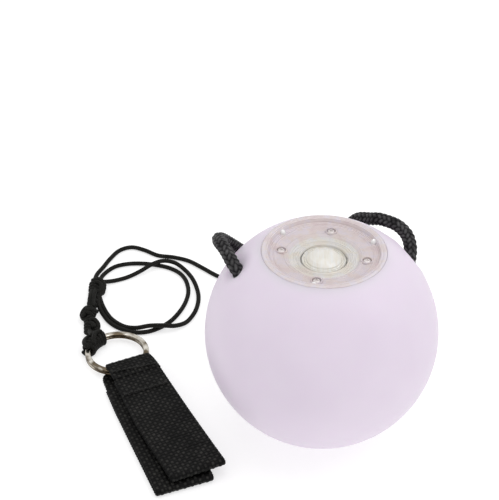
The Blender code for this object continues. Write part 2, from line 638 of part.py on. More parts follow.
def flat_loop_outline(start, end, bottom, rise, gap):
    """Side view of a flattened webbing loop that lies from start to end and rises a little.

    The outline runs along the outside, round the front fold, back to the sewn end,
    and then along the slit between the two layers.
    """
    thick = WEB_THICKNESS
    height = 2 * thick + gap
    reach = end - start
    fold = height / 2

    def lift(along):
        return bottom + rise * ((along - start) / reach) ** 2

    steps = [start + (reach - fold) * i / 5 for i in range(6)]
    outline = [(along, lift(along)) for along in steps]
    tip = lift(steps[-1])
    for number in range(1, 6):
        turn = -math.pi / 2 + math.pi * number / 6
        outline.append((steps[-1] + fold * math.cos(turn), tip + fold + fold * math.sin(turn)))
    outline += [(along, lift(along) + height) for along in reversed(steps)]
    slit = [start + 0.0045 + (reach - fold - 0.0045) * i / 5 for i in range(6)]
    inner = [(along, lift(along) + thick) for along in slit]
    inner.append((steps[-1] + gap / 2, tip + fold))
    inner += [(along, lift(along) + thick + gap) for along in reversed(slit)]
    return outline, inner


def finger_loop(name, angle, start, end, bottom, rise, surfaces, centre):
    """One flattened finger loop: a closed band of webbing with a slit through it."""
    gap = 0.0004
    outline, slit = flat_loop_outline(start, end, bottom, rise, gap)
    builder = bmesh.new()
    extrude_side_view(builder, outline, WEB_WIDTH)
    loop = add_object(name, builder, surfaces["webbing"], centre, turn=strap_turn(angle))
    opening = bmesh.new()
    extrude_side_view(opening, slit, WEB_WIDTH + 0.004)
    boolean(loop, add_object(name + "_slit", opening, None, centre, turn=strap_turn(angle)))


def finger_loops(surfaces):
    half = 2 * WEB_THICKNESS + 0.0006
    start = SEWN_END + GAP
    # The loops fan out from the sewn stack, so each starts a little further on.
    finger_loop("lower_finger_loop", LOWER_ANGLE, start + 0.0008, LOWER_END, 0.0, 0.0,
                surfaces, RING_CENTRE)
    finger_loop("upper_finger_loop", UPPER_ANGLE, start + 0.0002, UPPER_END, half - 0.0002, 0.0016,
                surfaces, RING_CENTRE)


def stitching(surfaces):
    """Rows of thread standing a little proud of the webbing, across the strap."""
    stack = 4 * WEB_THICKNESS + 0.0006
    for name, angle, along, height in (
            ("anchor_stitching", ANCHOR_ANGLE, SEWN_END - 0.0022, stack + GAP),
            ("loop_stitching", UPPER_ANGLE, SEWN_END + 0.0105, stack + 0.0002 + GAP)):
        builder = bmesh.new()
        count = 8
        half = WEB_WIDTH / 2 - 0.0015
        pitch = 2 * half / count
        outline = [(-half, height), (half, height)]
        for number in reversed(range(count)):
            start = -half + pitch * number
            outline += [(start + pitch * share, height + 0.0004) for share in (0.85, 0.15)]
            if number:
                outline.append((start, height + 0.00015))
        ends = [[builder.verts.new((along + side, across, up)) for across, up in outline]
                for side in (-0.0003, 0.0003)]
        for ring in ends:
            builder.faces.new(ring)
        for i in range(len(outline)):
            j = (i + 1) % len(outline)
            builder.faces.new((ends[0][i], ends[0][j], ends[1][j], ends[1][i]))
        add_object(name, builder, surfaces["thread"], RING_CENTRE, turn=strap_turn(angle))


# ---- Assembly -----------------------------------------------------------
def clear_scene():
    for item in list(bpy.data.objects):
        bpy.data.objects.remove(item, do_unlink=True)


def module_frame():
    """Empty at the ball's centre: the module's heights are given from there."""
    frame = bpy.data.objects.new("module_frame", None)
    frame.location = (0, 0, BALL_CENTRE_Z)
    bpy.context.scene.collection.objects.link(frame)
    return frame


def main():
    clear_scene()
    surfaces = make_materials()
    ball_shell(surfaces)
    rope_knots(surfaces)
    handle_rope(surfaces)
    rope_hitch(surfaces)
    module = module_frame()
    for build in (module_housing, housing_gasket, module_cover, cover_screws, button,
                  switch_body, circuit_board, board_leds, board_chips, battery_pack):
        build(surfaces, module)
    tether_tubes(surfaces)
    tether_knots(surfaces)
    ring_hitch(surfaces)
    split_ring(surfaces)
    strap_anchor(surfaces)
    finger_loops(surfaces)
    stitching(surfaces)


main()
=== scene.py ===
import math

import bmesh
import bpy
import numpy as np
from mathutils import Matrix, Vector


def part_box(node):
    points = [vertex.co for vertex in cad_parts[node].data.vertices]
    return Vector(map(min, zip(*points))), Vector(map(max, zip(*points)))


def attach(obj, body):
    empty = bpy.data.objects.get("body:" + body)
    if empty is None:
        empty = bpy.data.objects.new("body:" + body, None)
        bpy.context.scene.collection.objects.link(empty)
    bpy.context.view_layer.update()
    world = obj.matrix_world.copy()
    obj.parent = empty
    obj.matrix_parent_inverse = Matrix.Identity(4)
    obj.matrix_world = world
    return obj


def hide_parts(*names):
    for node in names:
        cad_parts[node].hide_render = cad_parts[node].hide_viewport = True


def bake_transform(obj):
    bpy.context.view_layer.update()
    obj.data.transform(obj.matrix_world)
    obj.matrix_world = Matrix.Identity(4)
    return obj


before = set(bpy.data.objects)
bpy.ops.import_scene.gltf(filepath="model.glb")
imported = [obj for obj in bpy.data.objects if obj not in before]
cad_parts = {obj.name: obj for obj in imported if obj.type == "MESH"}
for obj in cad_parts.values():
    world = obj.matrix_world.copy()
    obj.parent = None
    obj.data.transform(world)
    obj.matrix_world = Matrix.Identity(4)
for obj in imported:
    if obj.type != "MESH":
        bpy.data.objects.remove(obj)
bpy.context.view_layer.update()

MM = 0.001


def in_mm(points):
    """The points, given in millimetres, as tuples in metres."""
    return [tuple(value / 1000 for value in point) for point in points]


# ---- Driving sizes, in metres ------------------------------------------------
ball_low, ball_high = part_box("ball_shell")
BALL_RADIUS = (ball_high.x - ball_low.x) / 2
BALL_WALL = 3.5 * MM
FOOT_RADIUS = 7.0 * MM
BALL_CENTRE = Vector((0.0, 0.0, math.sqrt(BALL_RADIUS**2 - FOOT_RADIUS**2)))
MOUTH_RADIUS = 21.6 * MM             # heights inside the ball are above its centre
MOUTH_FLOOR = 29.6 * MM
LIP_RADIUS = 20.9 * MM               # where the soft lip closes round the disc
NECK_RADIUS = 18.0 * MM
LIP_BOTTOM = 27.6 * MM

ROPE_DIAMETER = 4.3 * MM
BORE_RADIUS = 2.45 * MM              # the rope's holes in the ball
STOPPER_DEPTH = 13.0 * MM            # from the ball's skin to the middle of a stopper knot
CORD_DIAMETER = 1.8 * MM

ring_low, ring_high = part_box("split_ring")
RING_CENTRE = Vector(((ring_low.x + ring_high.x) / 2, (ring_low.y + ring_high.y) / 2, 0.0))
RING_OUTER = (ring_high.x - ring_low.x) / 2
RING_INNER = RING_OUTER - 2.1 * MM
RING_BOTTOM = ring_low.z
RING_TURN = 1.0 * MM
RING_TURN_GAP = 0.2 * MM

ANCHOR_ANGLE = math.radians(25.3)    # strap directions, from -Y towards +X
UPPER_ANGLE = math.radians(25.8)
LOWER_ANGLE = math.radians(22.0)

# The rope's holes, given from the ball's centre, and the rope's directions out of them.
LEFT_HOLE = Vector((-0.0290, -0.0014, 0.0276))
RIGHT_HOLE = Vector((0.0303, 0.0136, 0.0223))
LEFT_EXIT = Vector((-0.55, 0.52, 0.65)).normalized()
RIGHT_EXIT = Vector((0.12, 0.68, 0.72)).normalized()
ROPE_INSIDE = 8.5 * MM               # from the ball's skin to the rope's ends
ROPE_ROUTE = in_mm([
    (-32.5, 4.6, 70.2), (-34.5, 9.6, 69.9), (-35.1, 14.8, 67.8), (-33.4, 20.3, 63.5),
    (-29.4, 25.8, 56.7), (-25.0, 33.8, 47.0), (-21.2, 39.2, 36.0), (-18.4, 43.0, 24.5),
    (-16.3, 46.8, 14.2), (-14.5, 51.6, 7.2), (-13.1, 57.0, 4.1), (-11.4, 61.9, 3.4),
    (-8.0, 65.3, 3.6), (-3.0, 66.6, 4.0), (2.0, 65.3, 3.6), (5.4, 61.9, 3.4), (7.1, 57.0, 4.1),
    (8.3, 51.6, 7.2), (9.2, 47.4, 14.2), (9.9, 44.8, 24.5), (10.4, 43.8, 36.0), (10.5, 42.4, 47.4),
    (11.4, 38.8, 57.0), (14.0, 35.2, 62.3), (18.2, 30.9, 65.2), (21.3, 27.9, 67.0),
    (26.2, 23.8, 67.5), (29.2, 20.5, 66.2), (30.3, 17.5, 64.7),
])
HITCH_PLACE = Vector((-0.0030, 0.0666, 0.0040))
TETHER_ROUTE = in_mm([
    (-3.0, 70.9, 2.4), (-4.8, 74.6, 1.0), (-10.5, 76.5, 1.0), (-17.5, 77.0, 1.0),
    (-24.5, 78.2, 1.0), (-31.2, 80.6, 1.0), (-37.8, 84.6, 1.0), (-43.7, 89.9, 1.0),
    (-49.6, 94.9, 1.0), (-55.9, 97.5, 1.0), (-62.6, 98.9, 1.0), (-68.2, 102.6, 1.0),
    (-73.8, 104.8, 1.0), (-78.8, 102.4, 1.0), (-82.2, 96.5, 1.0), (-84.6, 90.5, 1.0),
    (-86.6, 85.5, 1.2), (-87.2, 80.2, 1.8), (-87.2, 78.0, 2.2),
])
INNER_LOOP_ROUTE = in_mm([
    (-85.4, 78.1, 2.2), (-85.2, 80.2, 1.6), (-84.3, 84.8, 1.0), (-82.0, 88.6, 1.0),
    (-79.0, 91.4, 1.0), (-74.0, 93.0, 1.0), (-68.1, 93.1, 1.0), (-63.0, 92.1, 1.0),
    (-58.0, 90.3, 1.0), (-53.6, 87.0, 1.0), (-50.8, 82.5, 1.0), (-49.4, 77.0, 1.0),
    (-49.2, 72.0, 1.0), (-50.2, 66.2, 1.0), (-52.2, 60.5, 1.0), (-55.2, 55.0, 1.0),
    (-58.8, 51.2, 1.0), (-63.4, 48.4, 1.0), (-68.6, 47.7, 1.0), (-73.0, 49.3, 1.0),
    (-76.6, 51.5, 1.0), (-79.8, 55.0, 1.0), (-82.4, 59.8, 1.0), (-83.4, 62.0, 1.3),
])
OUTER_LOOP_ROUTE = in_mm([
    (-84.6, 78.6, 2.6), (-82.8, 79.9, 1.5), (-79.0, 81.4, 1.0), (-74.0, 83.8, 1.0),
    (-69.0, 87.0, 1.7), (-64.5, 90.0, 2.9), (-60.0, 92.0, 3.2), (-55.3, 91.9, 2.3),
    (-51.2, 88.8, 1.1), (-48.0, 83.2, 1.0), (-46.0, 77.0, 1.0), (-45.0, 71.0, 1.0),
    (-45.2, 65.0, 1.0), (-46.6, 59.2, 1.0), (-49.4, 54.0, 1.0), (-53.6, 50.6, 2.0),
    (-58.5, 49.3, 3.2), (-63.3, 49.2, 3.1), (-68.2, 49.7, 1.7), (-72.2, 51.0, 1.0),
    (-75.3, 52.9, 1.0), (-78.5, 56.2, 1.0), (-81.1, 60.8, 1.0), (-82.9, 65.3, 1.1),
    (-83.7, 67.6, 1.4),
])


# ---- Materials ----------------------------------------------------------------
def add_node(tree, kind, inputs=None, **settings):
    """A shader node. An input given as another node's socket is linked, any other is set."""
    made = tree.nodes.new("ShaderNode" + kind)
    for key, value in settings.items():
        setattr(made, key, value)
    for key, value in (inputs or {}).items():
        if isinstance(value, bpy.types.NodeSocket):
            tree.links.new(value, made.inputs[key])
        else:
            made.inputs[key].default_value = value
    return made


def new_material(name, colour, roughness, **sockets):
    """A Principled material. Constant values go straight on the shader's own sockets."""
    made = bpy.data.materials.new(name)
    made.use_nodes = True
    shader = made.node_tree.nodes["Principled BSDF"]
    shader.inputs["Base Color"].default_value = (*colour, 1.0)
    shader.inputs["Roughness"].default_value = roughness
    for key, value in sockets.items():
        shader.inputs[key.replace("_", " ")].default_value = value
    made.diffuse_color = (*colour, 1.0)
    return made, made.node_tree, shader


def object_coordinates(tree):
    return add_node(tree, "TexCoord").outputs["Object"]


def noise_texture(tree, vector, scale, detail=2.0, roughness=0.5):
    inputs = {"Scale": scale, "Detail": detail, "Roughness": roughness}
    if vector is not None:
        inputs["Vector"] = vector
    return add_node(tree, "TexNoise", inputs).outputs["Fac"]


def ramp(tree, factor, stops):
    """A colour ramp from (position, colour) stops."""
    made = add_node(tree, "ValToRGB", {"Fac": factor})
    elements = made.color_ramp.elements
    while len(elements) < len(stops):
        elements.new(1.0)
    for element, (place, colour) in zip(elements, stops):
        element.position = place
        element.color = (*colour, 1.0)
    return made.outputs["Color"]


def bump(tree, shader, height, distance, strength=1.0, below=None):
    inputs = {"Height": height, "Distance": distance, "Strength": strength}
    if below is not None:
        inputs["Normal"] = below
    made = add_node(tree, "Bump", inputs)
    tree.links.new(made.outputs["Normal"], shader.inputs["Normal"])
    return made.outputs["Normal"]


def feed(tree, shader, **values):
    """Links node outputs to the shader's sockets, named with underscores for spaces."""
    for key, value in values.items():
        tree.links.new(value, shader.inputs[key.replace("_", " ")])


def rescale(tree, value, low, high):
    return add_node(tree, "MapRange", {"Value": value, "To Min": low, "To Max": high}).outputs["Result"]


def multiply_colours(tree, first, second):
    return add_node(tree, "Mix", {6: first, 7: second, "Factor": 1.0}, data_type="RGBA",
                    blend_type="MULTIPLY").outputs[2]


def silicone_material():
    made, tree, shader = new_material(
        "silicone", (0.740, 0.655, 0.765), 0.48, Subsurface_Weight=0.35, Subsurface_Scale=0.004,
        Subsurface_Radius=(1.0, 0.72, 0.95), Specular_IOR_Level=0.42)
    place = object_coordinates(tree)
    cloud = noise_texture(tree, place, 28.0, 3.0)
    tone = ramp(tree, cloud, [(0.30, (0.715, 0.630, 0.742)), (0.70, (0.765, 0.682, 0.790))])
    feed(tree, shader, Base_Color=tone)
    feed(tree, shader, Roughness=rescale(tree, noise_texture(tree, place, 160.0, 4.0), 0.42, 0.56))
    satin = bump(tree, shader, noise_texture(tree, place, 2600.0, 2.0), 0.00002, 0.35)
    bump(tree, shader, noise_texture(tree, place, 90.0, 3.0), 0.00012, 0.25, satin)
    return made


def fibre_material(name, dark, light, roughness, fibres, sheen=0.06, highlight_fleck=0.5):
    """Spun or woven yarn. The mesh's UVs run across and along each strand, so the fibres follow it.

    The "lift" value on the mesh is 0 in the grooves and 1 on the crowns of the strands. The base colour
    follows it: painted shade in the grooves and a painted highlight on the crowns.
    """
    made, tree, shader = new_material(name, dark, roughness, Sheen_Weight=sheen,
                                      Sheen_Roughness=0.45, Specular_IOR_Level=0.08)
    strand = add_node(tree, "UVMap", uv_map="strand").outputs["UV"]
    stretched = add_node(tree, "Mapping", {"Vector": strand, "Scale": (fibres, 1.6, 1.0)})
    threads = noise_texture(tree, stretched.outputs["Vector"], 1.0, 3.0, 0.6)
    lift = add_node(tree, "Attribute", attribute_name="lift").outputs["Fac"]
    patches = noise_texture(tree, object_coordinates(tree), 260.0, 2.0)
    crown = add_node(tree, "Math", {0: lift, 1: threads}, operation="MULTIPLY").outputs[0]
    mixed = add_node(tree, "Math", {0: crown, 1: rescale(tree, patches, 1.0 - highlight_fleck, 1.0 + highlight_fleck)},
                     operation="MULTIPLY").outputs[0]
    # The base colour is painted by lift: painted shade in the grooves and a painted highlight on the
    # crowns, broken into flecks by the patches.
    middle = tuple((a + b) / 2 for a, b in zip(dark, light))
    painted_groove_shade = tuple(value * 0.35 for value in dark)
    tone = ramp(tree, mixed, [(0.02, painted_groove_shade), (0.22, dark), (0.45, middle), (0.72, light)])
    feed(tree, shader, Base_Color=tone)
    feed(tree, shader, Roughness=rescale(tree, threads, roughness - 0.12, roughness + 0.14))
    bump(tree, shader, threads, 0.00006, 0.7)
    return made


def steel_material(name, colour, roughness, scale=420.0, metallic=1.0):
    """Plated or brushed metal with fine handling marks and patches of duller colour."""
    made, tree, shader = new_material(name, colour, roughness, Metallic=metallic)
    place = object_coordinates(tree)
    marks = noise_texture(tree, place, scale, 5.0, 0.65)
    dull = tuple(value * 0.78 for value in colour)
    feed(tree, shader, Base_Color=ramp(tree, marks, [(0.32, dull), (0.60, colour)]))
    feed(tree, shader, Roughness=rescale(tree, marks, roughness * 0.6, roughness * 1.6))
    bump(tree, shader, noise_texture(tree, place, scale * 4, 3.0), 0.00001, 0.4)
    return made


def ring_material():
    """Nickel wire with painted reflections: a painted highlight on its flat faces, painted dark brown
    reflections down its sides and in patches, and fine wear marks.
    """
    made, tree, shader = new_material("split_ring_nickel", (0.70, 0.66, 0.58), 0.14, Metallic=1.0)
    place = object_coordinates(tree)
    own_normal = add_node(tree, "TexCoord").outputs["Normal"]
    upward = add_node(tree, "SeparateXYZ", {"Vector": own_normal}).outputs["Z"]
    level = add_node(tree, "Math", {0: upward}, operation="ABSOLUTE").outputs[0]
    # Painted reflections: light and dark bands by how far the wire's own normal points up, brightest on
    # its flat faces as a painted highlight.
    painted_reflections_and_wear = ramp(tree, level, [(0.05, (0.16, 0.13, 0.10)), (0.30, (0.40, 0.36, 0.30)),
                               (0.50, (0.12, 0.10, 0.08)), (0.72, (0.55, 0.51, 0.44)),
                               (0.90, (0.96, 0.94, 0.90))])
    marks = noise_texture(tree, place, 520.0, 4.0, 0.6)
    worn = ramp(tree, marks, [(0.35, (0.72, 0.70, 0.66)), (0.62, (1.0, 1.0, 1.0))])
    # These patches are painted dark brown reflections.
    painted_reflection_patches = ramp(tree, noise_texture(tree, place, 150.0, 2.0),
                   [(0.42, (0.22, 0.18, 0.13)), (0.52, (1.0, 0.98, 0.94))])
    for layer in (painted_reflection_patches, worn):
        painted_reflections_and_wear = multiply_colours(tree, painted_reflections_and_wear, layer)
    feed(tree, shader, Base_Color=painted_reflections_and_wear)
    feed(tree, shader, Roughness=rescale(tree, marks, 0.08, 0.24))
    bump(tree, shader, noise_texture(tree, place, 1800.0, 3.0), 0.00001, 0.4)
    return made


def clear_material(name, colour, roughness, transmission):
    """Moulded clear plastic: faint flow lines and a slightly uneven surface."""
    made, tree, shader = new_material(name, colour, roughness, Transmission_Weight=transmission,
                                      IOR=1.47, Specular_IOR_Level=0.5)
    place = object_coordinates(tree)
    flow = noise_texture(tree, place, 130.0, 3.0)
    tint = tuple(min(1.0, value * 1.05) for value in colour)
    feed(tree, shader, Base_Color=ramp(tree, flow, [(0.35, colour), (0.65, tint)]))
    feed(tree, shader, Roughness=rescale(tree, flow, roughness * 0.7, roughness * 1.4))
    bump(tree, shader, noise_texture(tree, place, 700.0, 2.0), 0.00003, 0.3)
    return made


def cap_material():
    """Clear button over an ivory core: warm, with painted highlights in long lines that run front to
    back, which also make a fine bump.
    """
    made, tree, shader = new_material("clear_button", (0.98, 0.95, 0.88), 0.12,
                                      Transmission_Weight=0.30, IOR=1.47, Coat_Weight=0.3)
    place = object_coordinates(tree)
    drawn = add_node(tree, "Mapping", {"Vector": place, "Scale": (900.0, 110.0, 300.0)})
    highlight_streaks = noise_texture(tree, drawn.outputs["Vector"], 1.0, 3.0, 0.6)
    # The lighter lines in the base colour are painted highlights.
    tone = ramp(tree, highlight_streaks, [(0.34, (0.90, 0.86, 0.76)), (0.50, (0.98, 0.95, 0.88)),
                                (0.64, (1.0, 1.0, 0.98))])
    feed(tree, shader, Base_Color=tone)
    feed(tree, shader, Roughness=rescale(tree, highlight_streaks, 0.08, 0.24))
    bump(tree, shader, highlight_streaks, 0.00012, 0.6)
    return made


def radius_from_axis(tree, place):
    """Distance from the ball's upright axis, in metres."""
    flat = add_node(tree, "VectorMath", {0: place, 1: (1.0, 1.0, 0.0)}, operation="MULTIPLY")
    return add_node(tree, "VectorMath", {0: flat.outputs[0]}, operation="LENGTH").outputs["Value"]


def cover_material():
    """Clear disc over pale parts: ivory in the cup, mauve and beige patches round it, lilac rim."""
    made, tree, shader = new_material("clear_cover", (0.88, 0.82, 0.82), 0.15,
                                      Transmission_Weight=0.22, IOR=1.47)
    place = object_coordinates(tree)
    reach = add_node(tree, "MapRange", {"Value": radius_from_axis(tree, place),
                                        "From Max": 0.024}).outputs["Result"]
    zones = ramp(tree, reach, [(0.36, (0.94, 0.92, 0.87)), (0.475, (0.94, 0.92, 0.88)),
                               (0.50, (0.89, 0.81, 0.81)), (0.70, (0.89, 0.80, 0.83)),
                               (0.79, (0.95, 0.87, 0.90)), (0.90, (0.97, 0.91, 0.95))])
    patches = ramp(tree, noise_texture(tree, place, 210.0, 3.0, 0.6),
                   [(0.36, (0.93, 0.87, 0.86)), (0.46, (0.97, 0.94, 0.90)), (0.56, (0.95, 0.95, 1.0)),
                    (0.66, (1.0, 0.98, 0.98))])
    feed(tree, shader, Base_Color=multiply_colours(tree, zones, patches))
    rings = add_node(tree, "MapRange", {"Value": add_node(
        tree, "Math", {0: reach, 1: 620.0}, operation="MULTIPLY").outputs[0]}, clamp=False)
    wave = add_node(tree, "Math", {0: rings.outputs["Result"]}, operation="SINE").outputs[0]
    turned = bump(tree, shader, wave, 0.00006, 0.6)
    bump(tree, shader, noise_texture(tree, place, 700.0, 2.0), 0.00004, 0.3, turned)
    feed(tree, shader, Roughness=rescale(tree, noise_texture(tree, place, 130.0, 3.0), 0.12, 0.26))
    return made


def moulded_material(name, colour, roughness, grain=900.0, spread=0.06):
    """Opaque moulded plastic or rubber with a fine grain."""
    made, tree, shader = new_material(name, colour, roughness)
    place = object_coordinates(tree)
    cloud = noise_texture(tree, place, 220.0, 3.0)
    low = tuple(value * (1 - spread) for value in colour)
    high = tuple(min(1.0, value * (1 + spread)) for value in colour)
    feed(tree, shader, Base_Color=ramp(tree, cloud, [(0.3, low), (0.7, high)]))
    feed(tree, shader, Roughness=rescale(tree, cloud, roughness - 0.06, roughness + 0.08))
    bump(tree, shader, noise_texture(tree, place, grain * 2, 2.0), 0.00002, 0.4)
    return made


def board_material():
    """Circuit board: pale solder mask with copper tracks and tinned pads showing through."""
    made, tree, shader = new_material("circuit_board", (0.62, 0.60, 0.56), 0.42)
    place = object_coordinates(tree)
    cells = add_node(tree, "TexVoronoi", {"Vector": place, "Scale": 420.0}, distance="MANHATTAN",
                     feature="DISTANCE_TO_EDGE")
    tone = ramp(tree, cells.outputs["Distance"], [(0.02, (0.46, 0.45, 0.40)),
                                                  (0.06, (0.66, 0.65, 0.60)),
                                                  (0.40, (0.72, 0.71, 0.68))])
    feed(tree, shader, Base_Color=tone)
    bump(tree, shader, cells.outputs["Distance"], 0.00004, 0.4)
    return made


MATERIALS = {
    "silicone": silicone_material(),
    # For each yarn, the second colour is the painted highlight on the strands' crowns, and the fleck
    # spread makes that highlight patchy.
    "rope": fibre_material("rope_braid", (0.0055, 0.0050, 0.0060), (0.104, 0.102, 0.104), 0.42, 26.0,
                           sheen=0.01, highlight_fleck=0.9),
    "cord": fibre_material("tether_cord", (0.007, 0.007, 0.006), (0.026, 0.025, 0.022), 0.58, 14.0,
                           sheen=0.02),
    "webbing": fibre_material("webbing", (0.0036, 0.0036, 0.0034), (0.042, 0.041, 0.037), 0.45, 10.0,
                              sheen=0.01, highlight_fleck=0.8),
    "thread": fibre_material("thread", (0.009, 0.009, 0.008), (0.070, 0.070, 0.066), 0.48, 10.0),
    "ring": ring_material(),
    "steel": steel_material("bright_steel", (0.66, 0.65, 0.63), 0.26, 900.0),
    "screw": steel_material("screw_plating", (0.82, 0.77, 0.76), 0.50, 900.0, 0.35),
    "cover": cover_material(),
    "clear": clear_material("clear_housing", (0.95, 0.93, 0.93), 0.10, 0.80),
    "cap": cap_material(),
    # The lugs' near-white, almost opaque colour is a painted glint.
    "lug": clear_material("lug_painted_glint", (0.98, 0.97, 0.97), 0.08, 0.15),
    "core": moulded_material("ivory_core", (0.98, 0.95, 0.87), 0.38),
    "white": moulded_material("white_plastic", (0.78, 0.76, 0.72), 0.42),
    "seal": moulded_material("seal_rubber", (0.62, 0.58, 0.60), 0.62),
    "dark": moulded_material("chip_plastic", (0.025, 0.025, 0.027), 0.40, spread=0.2),
    "board": board_material(),
}


# ---- Mesh helpers ---------------------------------------------------------------
def catmull_rom(points, per_span=12):
    """A smooth curve through the points, as a dense polyline."""
    route = [Vector(p) for p in points]
    route = [2 * route[0] - route[1]] + route + [2 * route[-1] - route[-2]]
    dense = []
    for before, start, end, after in zip(route, route[1:], route[2:], route[3:]):
        for step in range(per_span):
            t = step / per_span
            dense.append(0.5 * (2 * start + (end - before) * t
                                + (2 * before - 5 * start + 4 * end - after) * t**2
                                + (3 * start - before - 3 * end + after) * t**3))
    return np.array([tuple(p) for p in dense] + [tuple(route[-2])])


def reach_of(line):
    """Distance along a polyline to each of its points."""
    return np.r_[0.0, np.cumsum(np.linalg.norm(np.diff(line, axis=0), axis=1))]


def evenly(line, step):
    """The polyline's points at equal steps, and their distances along it."""
    reach = reach_of(line)
    count = max(4, int(round(reach[-1] / step)) + 1)
    wanted = np.linspace(0.0, reach[-1], count)
    return np.stack([np.interp(wanted, reach, line[:, axis]) for axis in range(3)], 1), wanted


def frames_along(line, up=(0.0, 0.0, 1.0)):
    """Two directions square to the line at each point, turned as little as possible."""
    ahead = np.gradient(line, axis=0)
    ahead /= np.linalg.norm(ahead, axis=1)[:, None]
    first = np.cross(ahead[0], up)
    if np.linalg.norm(first) < 0.1:
        first = np.cross(ahead[0], (1.0, 0.0, 0.0))
    side = np.empty_like(line)
    side[0] = first / np.linalg.norm(first)
    for i in range(1, len(line)):
        carried = side[i - 1] - ahead[i] * np.dot(side[i - 1], ahead[i])
        side[i] = carried / np.linalg.norm(carried)
    return side, np.cross(side, ahead)


def mesh_object(name, points, faces, material, smooth_angle=None):
    mesh = bpy.data.meshes.new(name)
    mesh.from_pydata([tuple(p) for p in points], [], [tuple(int(i) for i in f) for f in faces])
    mesh.validate()
    mesh.shade_smooth()
    if smooth_angle:
        mesh.set_sharp_from_angle(angle=math.radians(smooth_angle))
    mesh.materials.append(MATERIALS[material])
    made = bpy.data.objects.new(name, mesh)
    bpy.context.scene.collection.objects.link(made)
    return made


def set_uvs(mesh, corner_uvs):
    layer = mesh.uv_layers.new(name="strand")
    layer.data.foreach_set("uv", np.asarray(corner_uvs, np.float32).ravel())


# The lift also drives the yarn materials' painted shade in the grooves and painted highlight on the
# crowns.
def set_lift(mesh, values):
    layer = mesh.attributes.new("lift", "FLOAT", "POINT")
    layer.data.foreach_set("value", np.asarray(values, np.float32))


def grid_faces(rows, columns, offset=0):
    """Quads of a grid whose columns close on themselves."""
    row, column = np.meshgrid(np.arange(rows - 1), np.arange(columns), indexing="ij")
    following = (column + 1) % columns
    quads = [row * columns + column, row * columns + following,
             (row + 1) * columns + following, (row + 1) * columns + column]
    return np.stack(quads, -1).reshape(-1, 4) + offset


# ---- Braided cord ---------------------------------------------------------------
def braid(turn, along, carriers, cell):
    """Height, from 0 to 1, of a two-over-two braid. turn is in whole turns round the cord."""
    rising = turn * carriers + along / cell
    falling = turn * carriers - along / cell
    phase = np.floor(rising) + np.floor(falling)
    rising_on_top = phase % 4 < 2
    across = np.where(rising_on_top, rising, falling) % 1 - 0.5
    float_rising = ((np.floor(rising) + falling) % 4) / 2
    float_falling = ((np.floor(falling) + rising - 2) % 4) / 2
    lengthwise = np.clip(np.where(rising_on_top, float_rising, float_falling), 0, 1)
    crown = np.sqrt(np.clip(1 - (1.9 * across) ** 2, 0, 1))
    return crown * (0.45 + 0.55 * np.sin(np.pi * lengthwise))


def braid_uvs(turn, along, carriers, cell):
    """For each face's corners, the places across and along the strand on top of that face."""
    rising = turn * carriers + along / cell
    falling = turn * carriers - along / cell
    middle = np.floor(rising.mean(1)) + np.floor(falling.mean(1))
    rising_on_top = (middle % 4 < 2)[:, None]
    across = np.where(rising_on_top, rising, falling + 37.0)
    lengthwise = np.where(rising_on_top, falling, rising + 11.0)
    return np.stack([across, lengthwise], -1).reshape(-1, 2)


def cord_mesh(path, diameter, carriers, around, step, depth, taper=0.0):
    """Points, faces, UVs and lift of one braided cord along a polyline."""
    line, along = evenly(path, step)
    side, up = frames_along(line)
    cell = math.pi * diameter / carriers
    turn = np.arange(around) / around
    turn_grid, along_grid = np.meshgrid(turn, along)
    lift = braid(turn_grid, along_grid, carriers, cell)
    radius = diameter / 2 - depth * (1 - lift)
    if taper:
        ends = np.minimum(along, along[-1] - along)
        radius = radius * np.sqrt(np.clip(ends / taper, 0.02, 1))[:, None]
    angle = turn_grid * 2 * math.pi
    points = (line[:, None, :] + side[:, None, :] * (radius * np.cos(angle))[..., None]
              + up[:, None, :] * (radius * np.sin(angle))[..., None]).reshape(-1, 3)
    faces = [tuple(f) for f in grid_faces(len(line), around)]
    row, column = np.meshgrid(np.arange(len(line) - 1), np.arange(around), indexing="ij")
    turns = np.stack([column, column + 1, column + 1, column], -1).reshape(-1, 4) / around
    lengths = along[np.stack([row, row, row + 1, row + 1], -1).reshape(-1, 4)]
    uvs = braid_uvs(turns, lengths, carriers, cell)
    last = (len(line) - 1) * around
    faces.append(tuple(reversed(range(around))))
    faces.append(tuple(range(last, last + around)))
    uvs = np.concatenate([uvs, np.zeros((2 * around, 2))])
    return points, faces, uvs, lift.ravel()


def cord_object(name, paths, diameter, material, carriers=8, around=48, step=0.25 * MM,
                depth=0.25 * MM, taper=0.0):
    """One object of braided cord along one path or several."""
    points, faces, uvs, lifts = [], [], [], []
    count = 0
    for path in paths:
        part_points, part_faces, part_uvs, part_lift = cord_mesh(
            path, diameter, carriers, around, step, depth, taper)
        points.append(part_points)
        faces += [tuple(i + count for i in face) for face in part_faces]
        uvs.append(part_uvs)
        lifts.append(part_lift)
        count += len(part_points)
    made = mesh_object(name, np.concatenate(points), faces, material)
    set_uvs(made.data, np.concatenate(uvs))
    set_lift(made.data, np.concatenate(lifts))
    return made


def helix(start, end, radius, turns, phase=0.0, squeeze=1.0, swell=0.0, per_turn=20):
    """A winding round the line from start to end. squeeze flattens it towards the floor."""
    start, end = Vector(start), Vector(end)
    axis = (end - start).normalized()
    side = axis.cross(Vector((0, 0, 1))).normalized()
    up = side.cross(axis)
    count = int(turns * per_turn) + 1
    result = []
    for i in range(count):
        share = i / (count - 1)
        angle = phase + 2 * math.pi * turns * share
        reach = radius * (1 + swell * math.sin(math.pi * share))
        result.append(start.lerp(end, share) + side * (reach * math.cos(angle))
                      + up * (reach * squeeze * math.sin(angle)))
    return np.array([tuple(p) for p in result])


